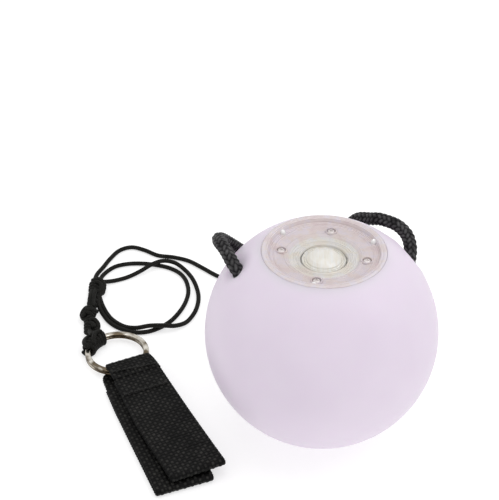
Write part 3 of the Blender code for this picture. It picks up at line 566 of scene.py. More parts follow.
# ---- Camera ---------------------------------------------------------------------
CAMERA_PLACE = (-0.02464, -0.39107, 0.34997)
CAMERA_PITCH = math.radians(35.244)  # below the horizon
camera_data = bpy.data.cameras.new("camera")
camera_data.sensor_fit = "HORIZONTAL"
camera_data.sensor_width = 36.0
camera_data.lens = 104.68
camera_data.clip_start = 0.01
camera = bpy.data.objects.new("camera", camera_data)
camera.location = CAMERA_PLACE
camera.rotation_euler = (math.pi / 2 - CAMERA_PITCH, 0.0, 0.0)
bpy.context.scene.collection.objects.link(camera)
bpy.context.scene.camera = camera


# ---- Cords ----------------------------------------------------------------------
def ball_point(offset):
    return Vector(offset) + BALL_CENTRE


def handle_route():
    inside = (-ROPE_INSIDE, -2.0 * MM, 1.8 * MM)
    route = [ball_point(LEFT_HOLE + LEFT_EXIT * along) for along in inside]
    route += [Vector(p) for p in ROPE_ROUTE]
    route += [ball_point(RIGHT_HOLE + RIGHT_EXIT * along) for along in reversed(inside)]
    return catmull_rom(route)


def settle(made, body, node=None):
    """Puts a finished piece on its body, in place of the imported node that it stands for."""
    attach(made, body)
    if node:
        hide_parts(node)


def free_cord(name, path, diameter, far_end, exit_point, node, slot, with_pieces=(), fuzz=0.0, **shape):
    """A loose cord. Its drawn skin stands off by fuzz, for the crowns of a coarse braid."""
    made = cord_object(name, [path], diameter + fuzz, **shape)
    settle(made, "root", node)


def wound_piece(name, paths, node, material="cord", diameter=CORD_DIAMETER):
    """A knot or a hitch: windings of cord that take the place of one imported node."""
    made = cord_object(name, paths, diameter, material, carriers=6, around=20, step=0.18 * MM,
                       depth=0.10 * MM, taper=0.5 * MM)
    settle(made, "root", node)
    return made


def strand(points):
    """A smooth run of cord through points given in millimetres."""
    return catmull_rom(in_mm(points))


def winding(start, end, radius, *turns):
    """A helix with its ends and its radius given in millimetres."""
    start, end = in_mm([start, end])
    return helix(start, end, radius / 1000, *turns)


def build_knots():
    """The tether's knots, from the loop's end down to the split ring."""
    upper = wound_piece("knot_upper", [
        winding((-86.8, 78.4, 2.4), (-86.7, 70.8, 2.3), 1.35, 4.0, 0.4, 0.95, 0.1),
        winding((-84.1, 77.4, 2.3), (-84.3, 71.6, 2.2), 1.15, 2.8, 1.4, 0.95, 0.2),
        strand([(-86.8, 78.2, 1.8), (-86.7, 75.0, 2.2), (-86.6, 71.2, 2.0)]),
        strand([(-84.2, 77.6, 2.0), (-84.2, 74.5, 2.2), (-84.4, 71.6, 2.0)]),
        strand([(-87.4, 77.6, 4.0), (-85.0, 78.0, 4.2), (-83.2, 76.2, 3.6),
                     (-82.8, 73.4, 2.8), (-83.8, 71.0, 2.4), (-85.6, 69.8, 2.8)]),
        strand([(-88.0, 75.2, 3.6), (-85.6, 75.8, 4.4), (-83.8, 74.0, 4.0),
                     (-84.2, 71.6, 3.4), (-85.8, 70.4, 3.6)]),
    ], "tether_knot_upper")
    wrapped = wound_piece("knot_wrapped", [
        winding((-86.6, 71.4, 2.2), (-86.8, 60.0, 2.2), 1.30, 4.6, 1.0, 0.95),
        strand([(-86.6, 71.4, 2.0), (-86.6, 66.0, 2.2), (-86.7, 60.0, 2.0)]),
        strand([(-87.0, 71.2, 4.0), (-87.6, 66.0, 4.2), (-87.4, 60.4, 3.6)]),
        strand([(-85.8, 71.2, 4.2), (-86.2, 66.0, 4.4), (-86.0, 60.2, 3.8)]),
        strand([(-83.0, 61.1, 1.2), (-84.0, 63.6, 1.5), (-84.8, 67.2, 2.1),
                     (-85.0, 71.4, 2.6)]),
        strand([(-83.4, 66.7, 1.3), (-84.0, 68.6, 1.7), (-84.5, 70.4, 2.2),
                     (-84.8, 72.2, 2.6)]),
    ], "tether_knot_wrapped")
    middle = wound_piece("knot_middle", [
        winding((-86.8, 59.4, 2.4), (-88.0, 54.6, 2.6), 1.75, 3.2, 0.2, 0.85, 0.15),
        strand([(-86.8, 60.0, 2.2), (-87.6, 57.2, 2.4), (-86.8, 54.0, 2.2)]),
        strand([(-85.8, 59.6, 3.8), (-88.4, 58.8, 4.4), (-90.0, 56.6, 3.0),
                     (-89.2, 54.6, 2.2), (-87.2, 53.8, 3.0)]),
        strand([(-88.8, 57.8, 4.4), (-87.0, 57.2, 4.8), (-85.2, 58.0, 3.6),
                     (-84.3, 59.6, 2.0)]),
    ], "tether_knot_middle")
    lower = wound_piece("knot_lower", [
        winding((-87.0, 54.4, 2.2), (-86.2, 45.8, 2.4), 1.30, 4.2, 0.9, 0.95),
        winding((-84.6, 51.2, 2.2), (-84.2, 46.8, 2.2), 0.95, 2.6, 0.3, 0.95, 0.2),
        strand([(-86.8, 54.0, 2.0), (-86.4, 50.0, 2.2), (-85.8, 44.6, 2.6)]),
        strand([(-84.6, 51.2, 1.8), (-84.4, 48.8, 2.2), (-84.4, 46.4, 2.4)]),
        strand([(-86.8, 51.6, 4.0), (-84.8, 51.8, 4.2), (-83.2, 50.0, 3.6),
                     (-83.0, 47.6, 3.0), (-84.4, 46.0, 3.4)]),
        strand([(-86.4, 49.8, 4.2), (-85.0, 48.6, 4.4), (-84.2, 46.6, 4.0)]),
    ], "tether_knot_lower")
    return [upper, wrapped, middle, lower]


def ring_place(radius, angle, height):
    return RING_CENTRE + Vector((radius * math.cos(angle), radius * math.sin(angle), height))


def build_ring_hitch():
    """Windings round the ring's wire, with the cord's crossing strand over them."""
    wire = (RING_INNER + RING_OUTER) / 2
    height = RING_BOTTOM + RING_TURN + RING_TURN_GAP / 2
    reach = 2.02 * MM
    start, end = math.radians(122), math.radians(174)
    turns, per_turn = 6.0, 18
    count = int(turns * per_turn) + 1
    winding = []
    for i in range(count):
        share = i / (count - 1)
        angle = start + (end - start) * share
        turn = 2 * math.pi * turns * share
        place = ring_place(wire + reach * math.cos(turn), angle, height + reach * math.sin(turn))
        winding.append(tuple(place))
    crossing = [ring_place(wire + 1.4 * MM, math.radians(122), 0.0050),
                ring_place(wire + 0.9 * MM, math.radians(137), 0.0061),
                ring_place(wire - 0.6 * MM, math.radians(151), 0.0062),
                ring_place(wire - 1.8 * MM, math.radians(165), 0.0050)]
    lead = [Vector((-0.0860, 0.0456, 0.0030)), Vector((-0.0856, 0.0440, 0.0044)),
            ring_place(wire + 1.0 * MM, math.radians(145), 0.0060)]
    bight = [Vector((-0.0846, 0.0462, 0.0028)),
             ring_place(wire + 3.1 * MM, math.radians(135), 0.0036),
             ring_place(wire + 3.2 * MM, math.radians(148), 0.0040),
             ring_place(wire + 2.6 * MM, math.radians(160), 0.0046),
             ring_place(wire + 1.2 * MM, math.radians(171), 0.0052),
             ring_place(wire - 0.8 * MM, math.radians(175), 0.0046)]
    return wound_piece("hitch_on_ring", [np.array(winding), catmull_rom(crossing), catmull_rom(lead),
                                         catmull_rom(bight)], "ring_hitch")


def build_rope_hitch():
    """The tether's turns round the middle of the handle rope, and its small knot."""
    left = HITCH_PLACE + Vector((-2.0 * MM, 0.0, 0.0))
    right = HITCH_PLACE + Vector((2.0 * MM, 0.0, 0.0))
    winding = helix(left, right, 3.05 * MM, 3.0, 0.6)
    knot = helix(HITCH_PLACE + Vector((-1.4 * MM, 3.3 * MM, -0.9 * MM)),
                 HITCH_PLACE + Vector((1.4 * MM, 3.3 * MM, -0.9 * MM)), 1.0 * MM, 1.6, 0.0)
    return wound_piece("hitch_on_rope", [winding, knot], "rope_hitch")


def build_stopper(name, hole, exit_way, node):
    """A stopper knot on the end of the handle rope, inside the ball."""
    middle = ball_point(hole - exit_way * STOPPER_DEPTH)
    reach = exit_way * 2.2 * MM
    made = cord_object(name, [helix(middle - reach, middle + reach, 1.9 * MM, 2.2, 0.3)],
                       0.8 * ROPE_DIAMETER, "rope", around=24, step=0.4 * MM, taper=1.2 * MM)
    settle(made, "root", node)
    return made


knots = build_knots()
ring_hitch = build_ring_hitch()
rope_hitch = build_rope_hitch()
stoppers = [build_stopper("stopper_left", LEFT_HOLE, LEFT_EXIT, "rope_knot_left"),
            build_stopper("stopper_right", RIGHT_HOLE, RIGHT_EXIT, "rope_knot_right")]
free_cord("rope_handle", handle_route(), ROPE_DIAMETER, "object", ball_point(LEFT_HOLE), "handle_rope",
          "rope_braid", stoppers, fuzz=0.4 * MM, material="rope", carriers=8, around=56,
          step=0.24 * MM, depth=0.55 * MM)
for cord_name, cord_route, cord_node, tied_pieces in (
        ("tether", TETHER_ROUTE, "tether_cord", [rope_hitch] + knots + [ring_hitch]),
        ("slack_inner", INNER_LOOP_ROUTE, "slack_loop_inner", ()),
        ("slack_outer", OUTER_LOOP_ROUTE, "slack_loop_outer", ())):
    free_cord(cord_name, catmull_rom(cord_route), CORD_DIAMETER, "knot", cord_route[0], cord_node,
              "tether_cord", tied_pieces, material="cord", carriers=6, around=26, step=0.16 * MM,
              depth=0.11 * MM)


# ---- Turned pieces --------------------------------------------------------------
def rounded(outline, radius, steps=4):
    """A closed (radius, height) outline with each corner off the axis rounded."""
    result = []
    count = len(outline)
    for i, corner in enumerate(outline):
        here = Vector(corner)
        if corner[0] == 0:
            result.append(tuple(here))
            continue
        back = Vector(outline[i - 1]) - here
        on = Vector(outline[(i + 1) % count]) - here
        start = here + back.normalized() * min(radius, back.length * 0.45)
        end = here + on.normalized() * min(radius, on.length * 0.45)
        for step in range(steps + 1):
            t = step / steps
            result.append(tuple(start * (1 - t) ** 2 + here * 2 * t * (1 - t) + end * t**2))
    return result


def turned_mesh(name, outline, columns, material, centre, smooth_angle=35):
    """A closed outline of (radius, height), turned about a vertical axis through centre."""
    rows = np.array(outline + [outline[0]])
    angle = np.arange(columns) / columns * 2 * math.pi
    points = np.stack([rows[:, :1] * np.cos(angle), rows[:, :1] * np.sin(angle),
                       np.repeat(rows[:, 1:], columns, axis=1)], -1).reshape(-1, 3)
    builder = bmesh.new()
    made = mesh_object(name, points + np.array(centre), grid_faces(len(rows), columns), material)
    builder.from_mesh(made.data)
    bmesh.ops.remove_doubles(builder, verts=builder.verts, dist=1e-7)
    bmesh.ops.dissolve_degenerate(builder, edges=builder.edges, dist=1e-7)
    bmesh.ops.recalc_face_normals(builder, faces=builder.faces)
    builder.to_mesh(made.data)
    builder.free()
    made.data.shade_smooth()
    made.data.set_sharp_from_angle(angle=math.radians(smooth_angle))
    return made


def cut(target, cutters, smooth_angle):
    """Subtracts the cutters from the target and leaves one plain mesh."""
    for cutter in cutters:
        modifier = target.modifiers.new("cut", "BOOLEAN")
        modifier.object = cutter
        modifier.solver = "EXACT"
    evaluated = target.evaluated_get(bpy.context.evaluated_depsgraph_get())
    settled = bpy.data.meshes.new_from_object(evaluated)
    target.modifiers.clear()
    target.data = settled
    for cutter in cutters:
        bpy.data.objects.remove(cutter)
    settled.shade_smooth()
    settled.set_sharp_from_angle(angle=math.radians(smooth_angle))


def cylinder(radius, start, end, segments=32):
    """A helper solid along any line, for cutting."""
    start, end = Vector(start), Vector(end)
    builder = bmesh.new()
    turn = (end - start).to_track_quat("Z", "Y").to_matrix().to_4x4()
    bmesh.ops.create_cone(builder, cap_ends=True, segments=segments, radius1=radius, radius2=radius,
                          depth=(end - start).length,
                          matrix=Matrix.Translation((start + end) / 2) @ turn)
    mesh = bpy.data.meshes.new("cutter")
    builder.to_mesh(mesh)
    builder.free()
    made = bpy.data.objects.new("cutter", mesh)
    bpy.context.scene.collection.objects.link(made)
    return made


def arc(radius, start, end, count):
    """(radius, height) points on a circle about the axis, angles from the top, in degrees."""
    angles = np.radians(np.linspace(start, end, count))
    return [(float(radius * math.sin(a)), float(radius * math.cos(a))) for a in angles]


def build_ball():
    """Hollow silicone ball, drawn in a little where the rope goes through it."""
    inner = BALL_RADIUS - BALL_WALL
    foot = 180 - math.degrees(math.asin(FOOT_RADIUS / BALL_RADIUS))
    mouth = math.degrees(math.asin(LIP_RADIUS / BALL_RADIUS))
    lip = math.degrees(math.acos(LIP_BOTTOM / inner))
    edge = math.cos(math.radians(mouth)) * BALL_RADIUS
    outline = arc(BALL_RADIUS, mouth + 0.7, foot, 120)
    outline += [(0.0, -BALL_CENTRE.z), (0.0, -inner)]
    outline += arc(inner, 174, lip, 36)
    mouth_wall = [(NECK_RADIUS, LIP_BOTTOM), (NECK_RADIUS, MOUTH_FLOOR), (MOUTH_RADIUS, MOUTH_FLOOR),
                  (MOUTH_RADIUS, 32.6 * MM), (LIP_RADIUS, 33.3 * MM), (LIP_RADIUS, edge)]
    # Both ends of the wall meet other stretches of the outline, so their rounding is left out.
    outline += rounded(mouth_wall, 0.3 * MM)[5:-5]
    outline += [(LIP_RADIUS, edge - 0.30 * MM), (LIP_RADIUS + 0.05 * MM, edge - 0.12 * MM),
                (LIP_RADIUS + 0.20 * MM, edge - 0.08 * MM)]
    ball = turned_mesh("silicone_ball", outline, 176, "silicone", BALL_CENTRE)
    holes = [ball_point(LEFT_HOLE), ball_point(RIGHT_HOLE)]
    for vertex in ball.data.vertices:
        offset = vertex.co - BALL_CENTRE
        if offset.length < BALL_RADIUS - 1.0 * MM:
            continue
        for hole in holes:
            reach = (vertex.co - hole).length
            dent = 1.0 * MM * math.exp(-(reach / (3.4 * MM)) ** 2)
            swell = 0.18 * MM * math.exp(-((reach - 7.0 * MM) / (2.2 * MM)) ** 2)
            vertex.co -= offset.normalized() * (dent - swell)
    bores = []
    for hole, exit_way in ((LEFT_HOLE, LEFT_EXIT), (RIGHT_HOLE, RIGHT_EXIT)):
        bores.append(cylinder(BORE_RADIUS, ball_point(hole - exit_way * 9 * MM),
                              ball_point(hole + exit_way * 6 * MM)))
    cut(ball, bores, 38)
    settle(ball, "root", "ball_shell")


build_ball()


# ---- Light module -------------------------------------------------------------
SCREW_CIRCLE = 14.4 * MM
SCREW_ANGLES = [math.radians(a) for a in (-12, 78, 168, 258)]
SCREW_SEAT = 31.4 * MM               # height of the counterbores' floors
LUG_ANGLES = [math.radians(a) for a in (21, 138, 257)]
LUG_CIRCLE = 18.1 * MM


def on_circle(radius, angle, height=0.0):
    return Vector((radius * math.cos(angle), radius * math.sin(angle), height))


def build_cover():
    """Clear disc: raised rim, ridged dish inside it, sunk plate round the button, and lugs."""
    outline = [(21.2, 31.0), (21.2, 32.4), (20.88, 33.1), (20.88, 33.9), (20.6, 34.35), (20.2, 34.5),
               (19.7, 34.4), (19.5, 34.2), (19.2, 34.2), (18.95, 34.35), (18.7, 34.1), (18.45, 32.9),
               (18.2, 32.55), (17.9, 32.8), (17.6, 32.75), (17.4, 32.4), (17.0, 32.35), (16.8, 32.5),
               (16.5, 32.5), (16.3, 32.25), (13.4, 31.85), (13.2, 32.1), (12.7, 32.1), (12.4, 31.8),
               (12.1, 31.7), (11.7, 31.2), (11.3, 30.95), (11.0, 31.15), (10.7, 31.15), (10.5, 30.9),
               (10.2, 30.9), (10.0, 31.2), (9.8, 31.2), (9.6, 30.85), (9.4, 30.85), (9.2, 31.2),
               (9.0, 31.2), (8.8, 30.8), (8.6, 30.8), (8.4, 31.1), (8.2, 31.0), (7.9, 30.5),
               (7.9, 29.6), (12.4, 29.6), (12.4, 31.0), (17.3, 31.0), (17.3, 31.8), (19.5, 31.8),
               (19.5, 31.0)]
    outline = rounded(in_mm(outline), 0.14 * MM, 3)
    cover = turned_mesh("cover_disc", outline, 160, "cover", BALL_CENTRE, 60)
    sinks = []
    for angle in SCREW_ANGLES:
        place = BALL_CENTRE + on_circle(SCREW_CIRCLE, angle)
        up = Vector((0, 0, 1))
        sinks.append(cylinder(1.5 * MM, place + up * SCREW_SEAT, place + up * 34 * MM))
        sinks.append(cylinder(0.9 * MM, place + up * 30.5 * MM, place + up * (SCREW_SEAT + 0.1 * MM)))
    cut(cover, sinks, 45)
    settle(cover, "led_module", "module_cover")
    for number, angle in enumerate(SCREW_ANGLES, start=1):
        rim = rounded([(1.5, 31.7), (1.55, 32.45), (1.8, 32.6), (2.05, 32.45), (2.15, 31.7)], 0.12, 3)
        boss = turned_mesh(f"screw_boss_{number}", in_mm(rim), 40, "cover",
                           BALL_CENTRE + on_circle(SCREW_CIRCLE, angle), 60)
        settle(boss, "led_module")
    for number, angle in enumerate(LUG_ANGLES, start=1):
        dome = rounded([(0.0, 34.1), (0.55, 33.9), (0.95, 33.3), (1.05, 32.1), (0.0, 32.1)], 0.2, 3)
        lug = turned_mesh(f"cover_lug_{number}", in_mm(dome), 24, "lug",
                          BALL_CENTRE + on_circle(LUG_CIRCLE, angle), 60)
        settle(lug, "led_module")


def build_screws():
    """Pan-head screws with a cross recess, down through the cover."""
    outline = [(0.0, 25.2), (0.6, 25.8), (0.6, 31.7), (1.2, 31.7), (1.2, 32.05), (0.85, 32.3),
               (0.0, 32.35)]
    outline = rounded(in_mm(outline), 0.12 * MM, 3)
    for number, angle in enumerate(SCREW_ANGLES, start=1):
        place = BALL_CENTRE + on_circle(SCREW_CIRCLE, angle)
        screw = turned_mesh(f"screw_{number}", outline, 32, "screw", place)
        slots = []
        for turn in (0.35 + number, 0.35 + number + math.pi / 2):
            builder = bmesh.new()
            slot_size = Matrix.Diagonal((1.4 * MM, 0.4 * MM, 0.7 * MM, 1))
            slot_place = (Matrix.Translation(place + Vector((0, 0, 32.25 * MM)))
                          @ Matrix.Rotation(turn, 4, "Z") @ slot_size)
            bmesh.ops.create_cube(builder, size=1.0, matrix=slot_place)
            mesh = bpy.data.meshes.new("slot")
            builder.to_mesh(mesh)
            builder.free()
            slots.append(bpy.data.objects.new("slot", mesh))
            bpy.context.scene.collection.objects.link(slots[-1])
        cut(screw, slots, 35)
        settle(screw, "led_module", f"cover_screw_{number}")


def build_button():
    """Clear domed cap over an ivory core with fine turned rings."""
    cap = [(9.2, 28.3), (9.2, 29.1), (7.6, 29.2), (7.4, 30.2), (7.25, 30.6), (7.0, 30.65), (6.85, 30.2),
           (6.65, 30.2), (6.5, 30.6), (6.3, 30.65), (6.2, 30.45), (6.0, 30.45), (5.8, 31.0), (4.7, 31.8),
           (2.6, 32.5), (0.0, 32.8), (0.0, 31.8), (4.0, 31.2), (6.3, 29.5), (6.4, 28.3)]
    button = turned_mesh("button_cap_clear", rounded(in_mm(cap), 0.12 * MM, 3),
                         128, "cap", BALL_CENTRE, 60)
    settle(button, "mode_button", "button_cap")
    top = []
    for step in range(27):
        radius = 5.7 * step / 26
        crest = 31.42 - 1.9 * (radius / 5.7) ** 2.2
        top.append((radius, crest + (0.07 if step % 2 else -0.07)))
    core = [(0.0, top[0][1])] + top[1:]
    core += [(6.0, 29.2), (6.0, 28.6), (2.1, 28.6), (2.1, 27.5), (0.0, 27.5)]
    ivory = turned_mesh("button_core_ivory", in_mm(core), 96, "core", BALL_CENTRE)
    settle(ivory, "mode_button", "button_core")


build_cover()
build_screws()
build_button()

CARRIED_OVER = {
    "module_housing": "clear", "housing_gasket": "seal", "switch_body": "dark", "circuit_board": "board",
    "board_led_1": "core", "board_led_2": "core", "board_led_3": "core", "board_chip": "dark",
    "board_resistor_1": "dark", "board_resistor_2": "dark", "board_resistor_3": "dark",
    "battery_holder": "white", "battery_cell_1": "steel", "battery_cell_2": "steel",
    "battery_clip": "steel", "battery_spring": "steel",
}
for node_name, material_name in CARRIED_OVER.items():
    for material_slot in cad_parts[node_name].material_slots:
        material_slot.material = MATERIALS[material_name]


# ---- Split ring -----------------------------------------------------------------
def build_split_ring():
    """Two turns of one flattened wire, with the step where the lower turn becomes the upper."""
    total = math.radians(672)
    step_start, step_end = math.radians(304), math.radians(352)
    rise = RING_TURN + RING_TURN_GAP
    steps = 340
    middle = (RING_INNER + RING_OUTER) / 2
    half_wide, half_high = (RING_OUTER - RING_INNER) / 2, RING_TURN / 2
    corner = 2 * math.pi * np.arange(20) / 20
    section = np.stack([half_wide * np.sign(np.cos(corner)) * np.abs(np.cos(corner)) ** 0.55,
                        half_high * np.sign(np.sin(corner)) * np.abs(np.sin(corner)) ** 0.70], 1)
    points = []
    for step in range(steps + 1):
        angle = total * step / steps
        share = min(max((angle - step_start) / (step_end - step_start), 0.0), 1.0)
        lift = RING_BOTTOM + half_high + rise * (share * share * (3 - 2 * share))
        for reach, height in section:
            points.append(tuple(ring_place(middle + reach, angle, lift + height)))
    faces = [tuple(f) for f in grid_faces(steps + 1, len(section))]
    faces.append(tuple(reversed(range(len(section)))))
    faces.append(tuple(range(steps * len(section), (steps + 1) * len(section))))
    ring = mesh_object("ring_wire", points, faces, "ring", 50)
    settle(ring, "split_ring", "split_ring")


build_split_ring()


# ---- Finger strap ---------------------------------------------------------------
WEB_THICKNESS = 1.2 * MM
BEAD = 1.35 * MM                     # pitch of the weave, both ways
BEAD_HEIGHT = 0.27 * MM
SELVAGE = 0.55 * MM


def weave(across, along):
    """Height, from 0 to 1, of a plain weave of thick yarns. Places are in beads."""
    checker = (np.floor(across) + np.floor(along)) % 2
    u = (across % 1) * 2 - 1
    v = (along % 1) * 2 - 1
    warp = np.clip(1 - u**2, 0, 1) ** 0.6 * np.clip(1 - v**4, 0, 1) ** 0.8
    weft = 0.55 * np.clip(1 - v**2, 0, 1) ** 0.6 * np.clip(1 - u**4, 0, 1) ** 0.8
    ply = 0.06 * np.cos(across * 6 * math.pi)
    return np.clip(np.where(checker < 1, warp + ply, weft), 0, 1)


def webbing(name, outer, inner, widths, centres, angle, columns=96, row_step=0.26 * MM, ripple=0.0):
    """A band of woven webbing.

    outer and inner are the band's two faces, as lines of (along, height) with as many points each,
    and widths and centres are its half width and its middle's sideways place at each of them.
    """
    outer, inner = np.array(outer), np.array(inner)
    reach = reach_of(np.c_[outer, np.zeros(len(outer))])
    wanted = np.linspace(0, reach[-1], int(reach[-1] / row_step) + 1)

    def at(values):
        return np.interp(wanted, reach, values)

    faces_line = np.stack([at(outer[:, 0]), at(outer[:, 1])], 1)
    backs_line = np.stack([at(inner[:, 0]), at(inner[:, 1])], 1)
    half, centre = at(widths), at(centres)
    middle = (faces_line + backs_line) / 2
    out = faces_line - backs_line
    thick = np.linalg.norm(out, axis=1)
    out /= thick[:, None]
    share = np.linspace(-1, 1, columns)
    sideways = share[None, :] * half[:, None]
    from_edge = (1 - np.abs(share))[None, :] * half[:, None]
    body = np.sqrt(np.clip(1 - (1 - np.clip(from_edge / SELVAGE, 0, 1)) ** 2, 0.02, 1))
    along_beads = (wanted / BEAD)[:, None]
    across_beads = sideways / BEAD + 40.5
    scallop = 0.08 * MM * np.cos(2 * math.pi * along_beads) * (np.abs(share)[None, :] > 0.985)
    rings, lifts = [], []
    for way, shift in ((1.0, 0.0), (-1.0, 1.0)):
        height = weave(across_beads, along_beads + shift)
        skin = (thick[:, None] / 2 - BEAD_HEIGHT * (1 - height) + 0.06 * MM) * body
        place = middle[:, None, :] + way * out[:, None, :] * skin[..., None]
        drift = ripple * np.sin(wanted / (9 * MM))[:, None] * (share**2)[None, :]
        face = np.stack([place[..., 0], centre[:, None] + sideways + scallop * np.sign(share),
                         place[..., 1] + drift], -1)
        rings.append(face if way > 0 else face[:, ::-1])
        lifts.append(height * body if way > 0 else (height * body)[:, ::-1])
    grid = np.concatenate(rings, 1)
    rows, around = grid.shape[:2]
    turn = strap_matrix(angle)
    points = grid.reshape(-1, 3) @ turn[:, :3].T + turn[:, 3]
    faces = [tuple(f) for f in grid_faces(rows, around)]
    faces.append(tuple(reversed(range(around))))
    faces.append(tuple(range((rows - 1) * around, rows * around)))
    made = mesh_object(name, points, faces, "webbing")
    # Each face's fibres run along the yarn that is on top there.
    across_grid = np.concatenate([across_beads, across_beads[:, ::-1] + 60], 1)
    row, column = np.meshgrid(np.arange(rows - 1), np.arange(around), indexing="ij")
    following = (column + 1) % around
    corners = [(row, column), (row, following), (row + 1, following), (row + 1, column)]
    across_corners = np.stack([across_grid[r, c] for r, c in corners], -1).reshape(-1, 4)
    along_corners = np.stack([(wanted / BEAD)[r] for r, _ in corners], -1).reshape(-1, 4)
    warp_on_top = ((np.floor(across_corners.mean(1)) + np.floor(along_corners.mean(1))) % 2 < 1)[:, None]
    uvs = np.stack([np.where(warp_on_top, across_corners, along_corners + 17),
                    np.where(warp_on_top, along_corners, across_corners)], -1).reshape(-1, 2)
    set_uvs(made.data, np.concatenate([uvs, np.zeros((2 * around, 2))]))
    set_lift(made.data, np.concatenate(lifts, 1).ravel())
    return made


def strap_matrix(angle):
    """Turns (along, sideways, height) in a strap's own directions into the row frame."""
    ahead = np.array([math.sin(angle), -math.cos(angle), 0.0])
    aside = np.array([math.cos(angle), math.sin(angle), 0.0])
    return np.stack([ahead, aside, np.array([0.0, 0.0, 1.0]), np.array(RING_CENTRE)], 1)


def strap_point(angle, along, sideways, height):
    turn = strap_matrix(angle)
    return Vector(turn[:, :3] @ np.array([along, sideways, height]) + turn[:, 3])


def smooth_path(points):
    """A dense, smooth line through (along, height) points given in millimetres."""
    dense = catmull_rom([(along * MM, height * MM, 0.0) for along, height in points], 8)
    return [(float(p[0]), float(p[1])) for p in dense]


def loop_faces(start, end, bottom, rise, bulge, gap=0.4 * MM):
    """Outer and inner faces of a flattened loop, from its root along the bottom and back on top."""
    outer, inner = [], []
    straight = 40
    fold = WEB_THICKNESS + gap / 2 + bulge / 2
    reach = end - start

    def lift(along):
        return bottom + rise * ((along - start) / reach) ** 2

    def opening(along):
        share = (along - start) / (reach - fold)
        return gap + bulge * share**2

    lengths = [start + (reach - fold) * i / straight for i in range(straight + 1)]
    for along in lengths:
        outer.append((along, lift(along)))
        inner.append((along, lift(along) + WEB_THICKNESS))
    tip = lengths[-1]
    centre = lift(tip) + fold
    for i in range(1, 16):
        turn = -math.pi / 2 + math.pi * i / 16
        outer.append((tip + fold * math.cos(turn), centre + fold * math.sin(turn)))
        small = fold - WEB_THICKNESS
        inner.append((tip + small * math.cos(turn), centre + small * math.sin(turn)))
    for along in reversed(lengths):
        top = lift(along) + 2 * WEB_THICKNESS + opening(along)
        outer.append((along, top))
        inner.append((along, top - WEB_THICKNESS))
    return outer, inner


def lerp_over(outer, start, end, first, last):
    """A value that goes from first to last as the line goes from start to end along the strap."""
    places = [point[0] for point in outer]
    return [first + (last - first) * min(max((along - start) / (end - start), 0), 1)
            for along in places]


def declare_webbing(node):
    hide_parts(node)


def bend_at_seam(piece):
    """Bakes the piece's placement into its mesh."""
    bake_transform(piece)


SEWN_END = 16.5 * MM
LOWER_START, LOWER_END = SEWN_END + 1.1 * MM, 75.5 * MM
UPPER_START, UPPER_END = SEWN_END + 0.5 * MM, 74.7 * MM


def build_lower_loop():
    outer, inner = loop_faces(LOWER_START, LOWER_END, 0.1 * MM, 0.0, 0.5 * MM)
    widths = lerp_over(outer, LOWER_START, LOWER_START + 12 * MM, 10.0 * MM, 10.4 * MM)
    loop = webbing("loop_lower", outer, inner, widths, [0.0] * len(outer), LOWER_ANGLE)
    bend_at_seam(loop)
    declare_webbing("lower_finger_loop")


def build_upper_loop():
    outer, inner = loop_faces(UPPER_START, UPPER_END, 2.75 * MM, 1.7 * MM, 0.2 * MM, 0.2 * MM)
    widths = lerp_over(outer, UPPER_START, UPPER_START + 25 * MM, 9.2 * MM, 10.0 * MM)
    centres = lerp_over(outer, UPPER_START, UPPER_START + 25 * MM, 1.4 * MM, 0.5 * MM)
    loop = webbing("loop_upper", outer, inner, widths, centres, UPPER_ANGLE)
    bend_at_seam(loop)
    declare_webbing("upper_finger_loop")


def build_anchor():
    """Webbing bunched through the ring and folded back on itself, sewn behind the ring."""
    outer = smooth_path([(16.85, 0.1), (13.5, 0.05), (10.5, 0.05), (8.0, 0.15), (6.9, 0.7), (6.6, 1.8),
                         (6.6, 2.8), (6.6, 3.8), (6.8, 4.8), (7.6, 5.35), (10.5, 5.5), (13.5, 5.6),
                         (16.85, 5.7)])
    inner = smooth_path([(16.85, 1.2), (13.5, 1.2), (10.5, 1.2), (8.9, 1.2), (8.1, 1.5), (7.9, 2.1),
                         (7.9, 2.8), (7.9, 3.5), (8.1, 4.0), (8.8, 4.25), (10.5, 4.35), (13.5, 4.5),
                         (16.85, 4.6)])
    stations = np.linspace(0, 1, 13)
    fine_stations = np.linspace(0, 1, len(outer))
    half_widths = [10.3, 10.2, 9.8, 9.0, 7.4, 5.3, 5.2, 5.3, 7.6, 8.8, 9.0, 9.1, 9.2]
    middles = [0.0] * 8 + [0.6, 1.2, 1.5, 1.6, 1.6]
    widths = np.interp(fine_stations, stations, np.array(half_widths) * MM)
    centres = np.interp(fine_stations, stations, np.array(middles) * MM)
    anchor = webbing("strap_fold", outer, inner, widths, centres, ANCHOR_ANGLE, row_step=0.22 * MM)
    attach(anchor, "root")
    declare_webbing("strap_anchor")


build_lower_loop()
build_upper_loop()
build_anchor()


STITCHES = 9
STITCH_HEIGHT = 5.75 * MM


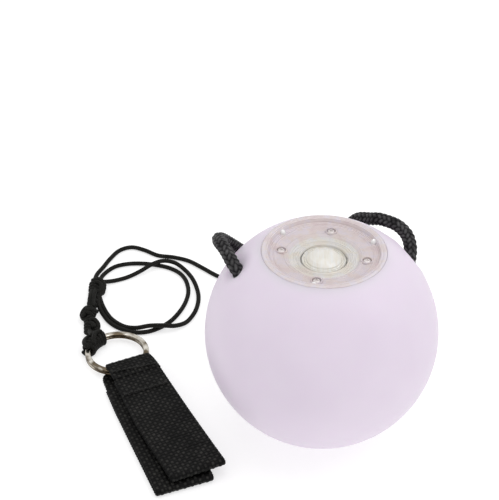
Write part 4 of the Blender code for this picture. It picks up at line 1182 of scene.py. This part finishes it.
def build_stitches(name, angle, start, end, body, node):
    """A row of thread stitches laid on the webbing, from start to end, as (along, sideways)."""
    paths = []
    start, whole_row = np.array(start), np.array(end) - np.array(start)
    for number in range(STITCHES):
        first = start + whole_row * number / STITCHES
        last = start + whole_row * (number + 0.82) / STITCHES
        points = []
        for t in np.linspace(0, 1, 7):
            along, sideways = first + (last - first) * t
            rise = 0.34 * MM * math.sin(math.pi * t)
            points.append(tuple(strap_point(angle, along * MM, sideways * MM,
                                            STITCH_HEIGHT + rise - 0.1 * MM)))
        paths.append(np.array(points))
    row = cord_object(name, paths, 0.62 * MM, "thread", carriers=4, around=14, step=0.12 * MM,
                      depth=0.05 * MM, taper=0.2 * MM)
    if body == "upper_loop":
        bend_at_seam(row)
    else:
        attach(row, body)
    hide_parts(node)


build_stitches("stitches_anchor", ANCHOR_ANGLE, (13.0, -6.6), (15.2, 9.6), "root", "anchor_stitching")
build_stitches("stitches_loop", UPPER_ANGLE, (26.6, -7.6), (26.9, 9.4), "upper_loop", "loop_stitching")


# ---- Floor and light --------------------------------------------------------------
def build_floor():
    mesh = bpy.data.meshes.new("floor")
    half = 3.0
    corners = [(-half, -half, 0), (half, -half, 0), (half, half, 0), (-half, half, 0)]
    mesh.from_pydata(corners, [], [(0, 1, 2, 3)])
    made, tree, shader = new_material("floor_paper", (0.50, 0.50, 0.50), 0.9, Specular_IOR_Level=0.1)
    shader.inputs["Emission Color"].default_value = (1.0, 1.0, 1.0, 1.0)
    shader.inputs["Emission Strength"].default_value = 0.61
    bump(tree, shader, noise_texture(tree, object_coordinates(tree), 400.0), 0.0001, 0.1)
    mesh.materials.append(made)
    floor = bpy.data.objects.new("floor", mesh)
    bpy.context.scene.collection.objects.link(floor)


def area_light(name, place, target, size, power):
    data = bpy.data.lights.new(name, "AREA")
    data.shape = "DISK"
    data.size = size
    data.energy = power
    made = bpy.data.objects.new(name, data)
    made.location = place
    made.rotation_euler = (Vector(target) - Vector(place)).to_track_quat("-Z", "Y").to_euler()
    bpy.context.scene.collection.objects.link(made)


def build_light():
    world = bpy.data.worlds.new("studio")
    world.use_nodes = True
    sky = world.node_tree.nodes["Background"].inputs
    sky["Color"].default_value = (1.0, 1.0, 1.0, 1.0)
    sky["Strength"].default_value = 0.76
    bpy.context.scene.world = world
    area_light("key", (0.50, -0.15, 0.85), (0.0, 0.0, 0.04), 0.60, 1.7)
    area_light("overhead", (0.0, 0.05, 1.20), (0.0, 0.0, 0.04), 1.0, 3.0)
    bpy.context.scene.view_settings.view_transform = "Standard"


build_floor()
build_light()
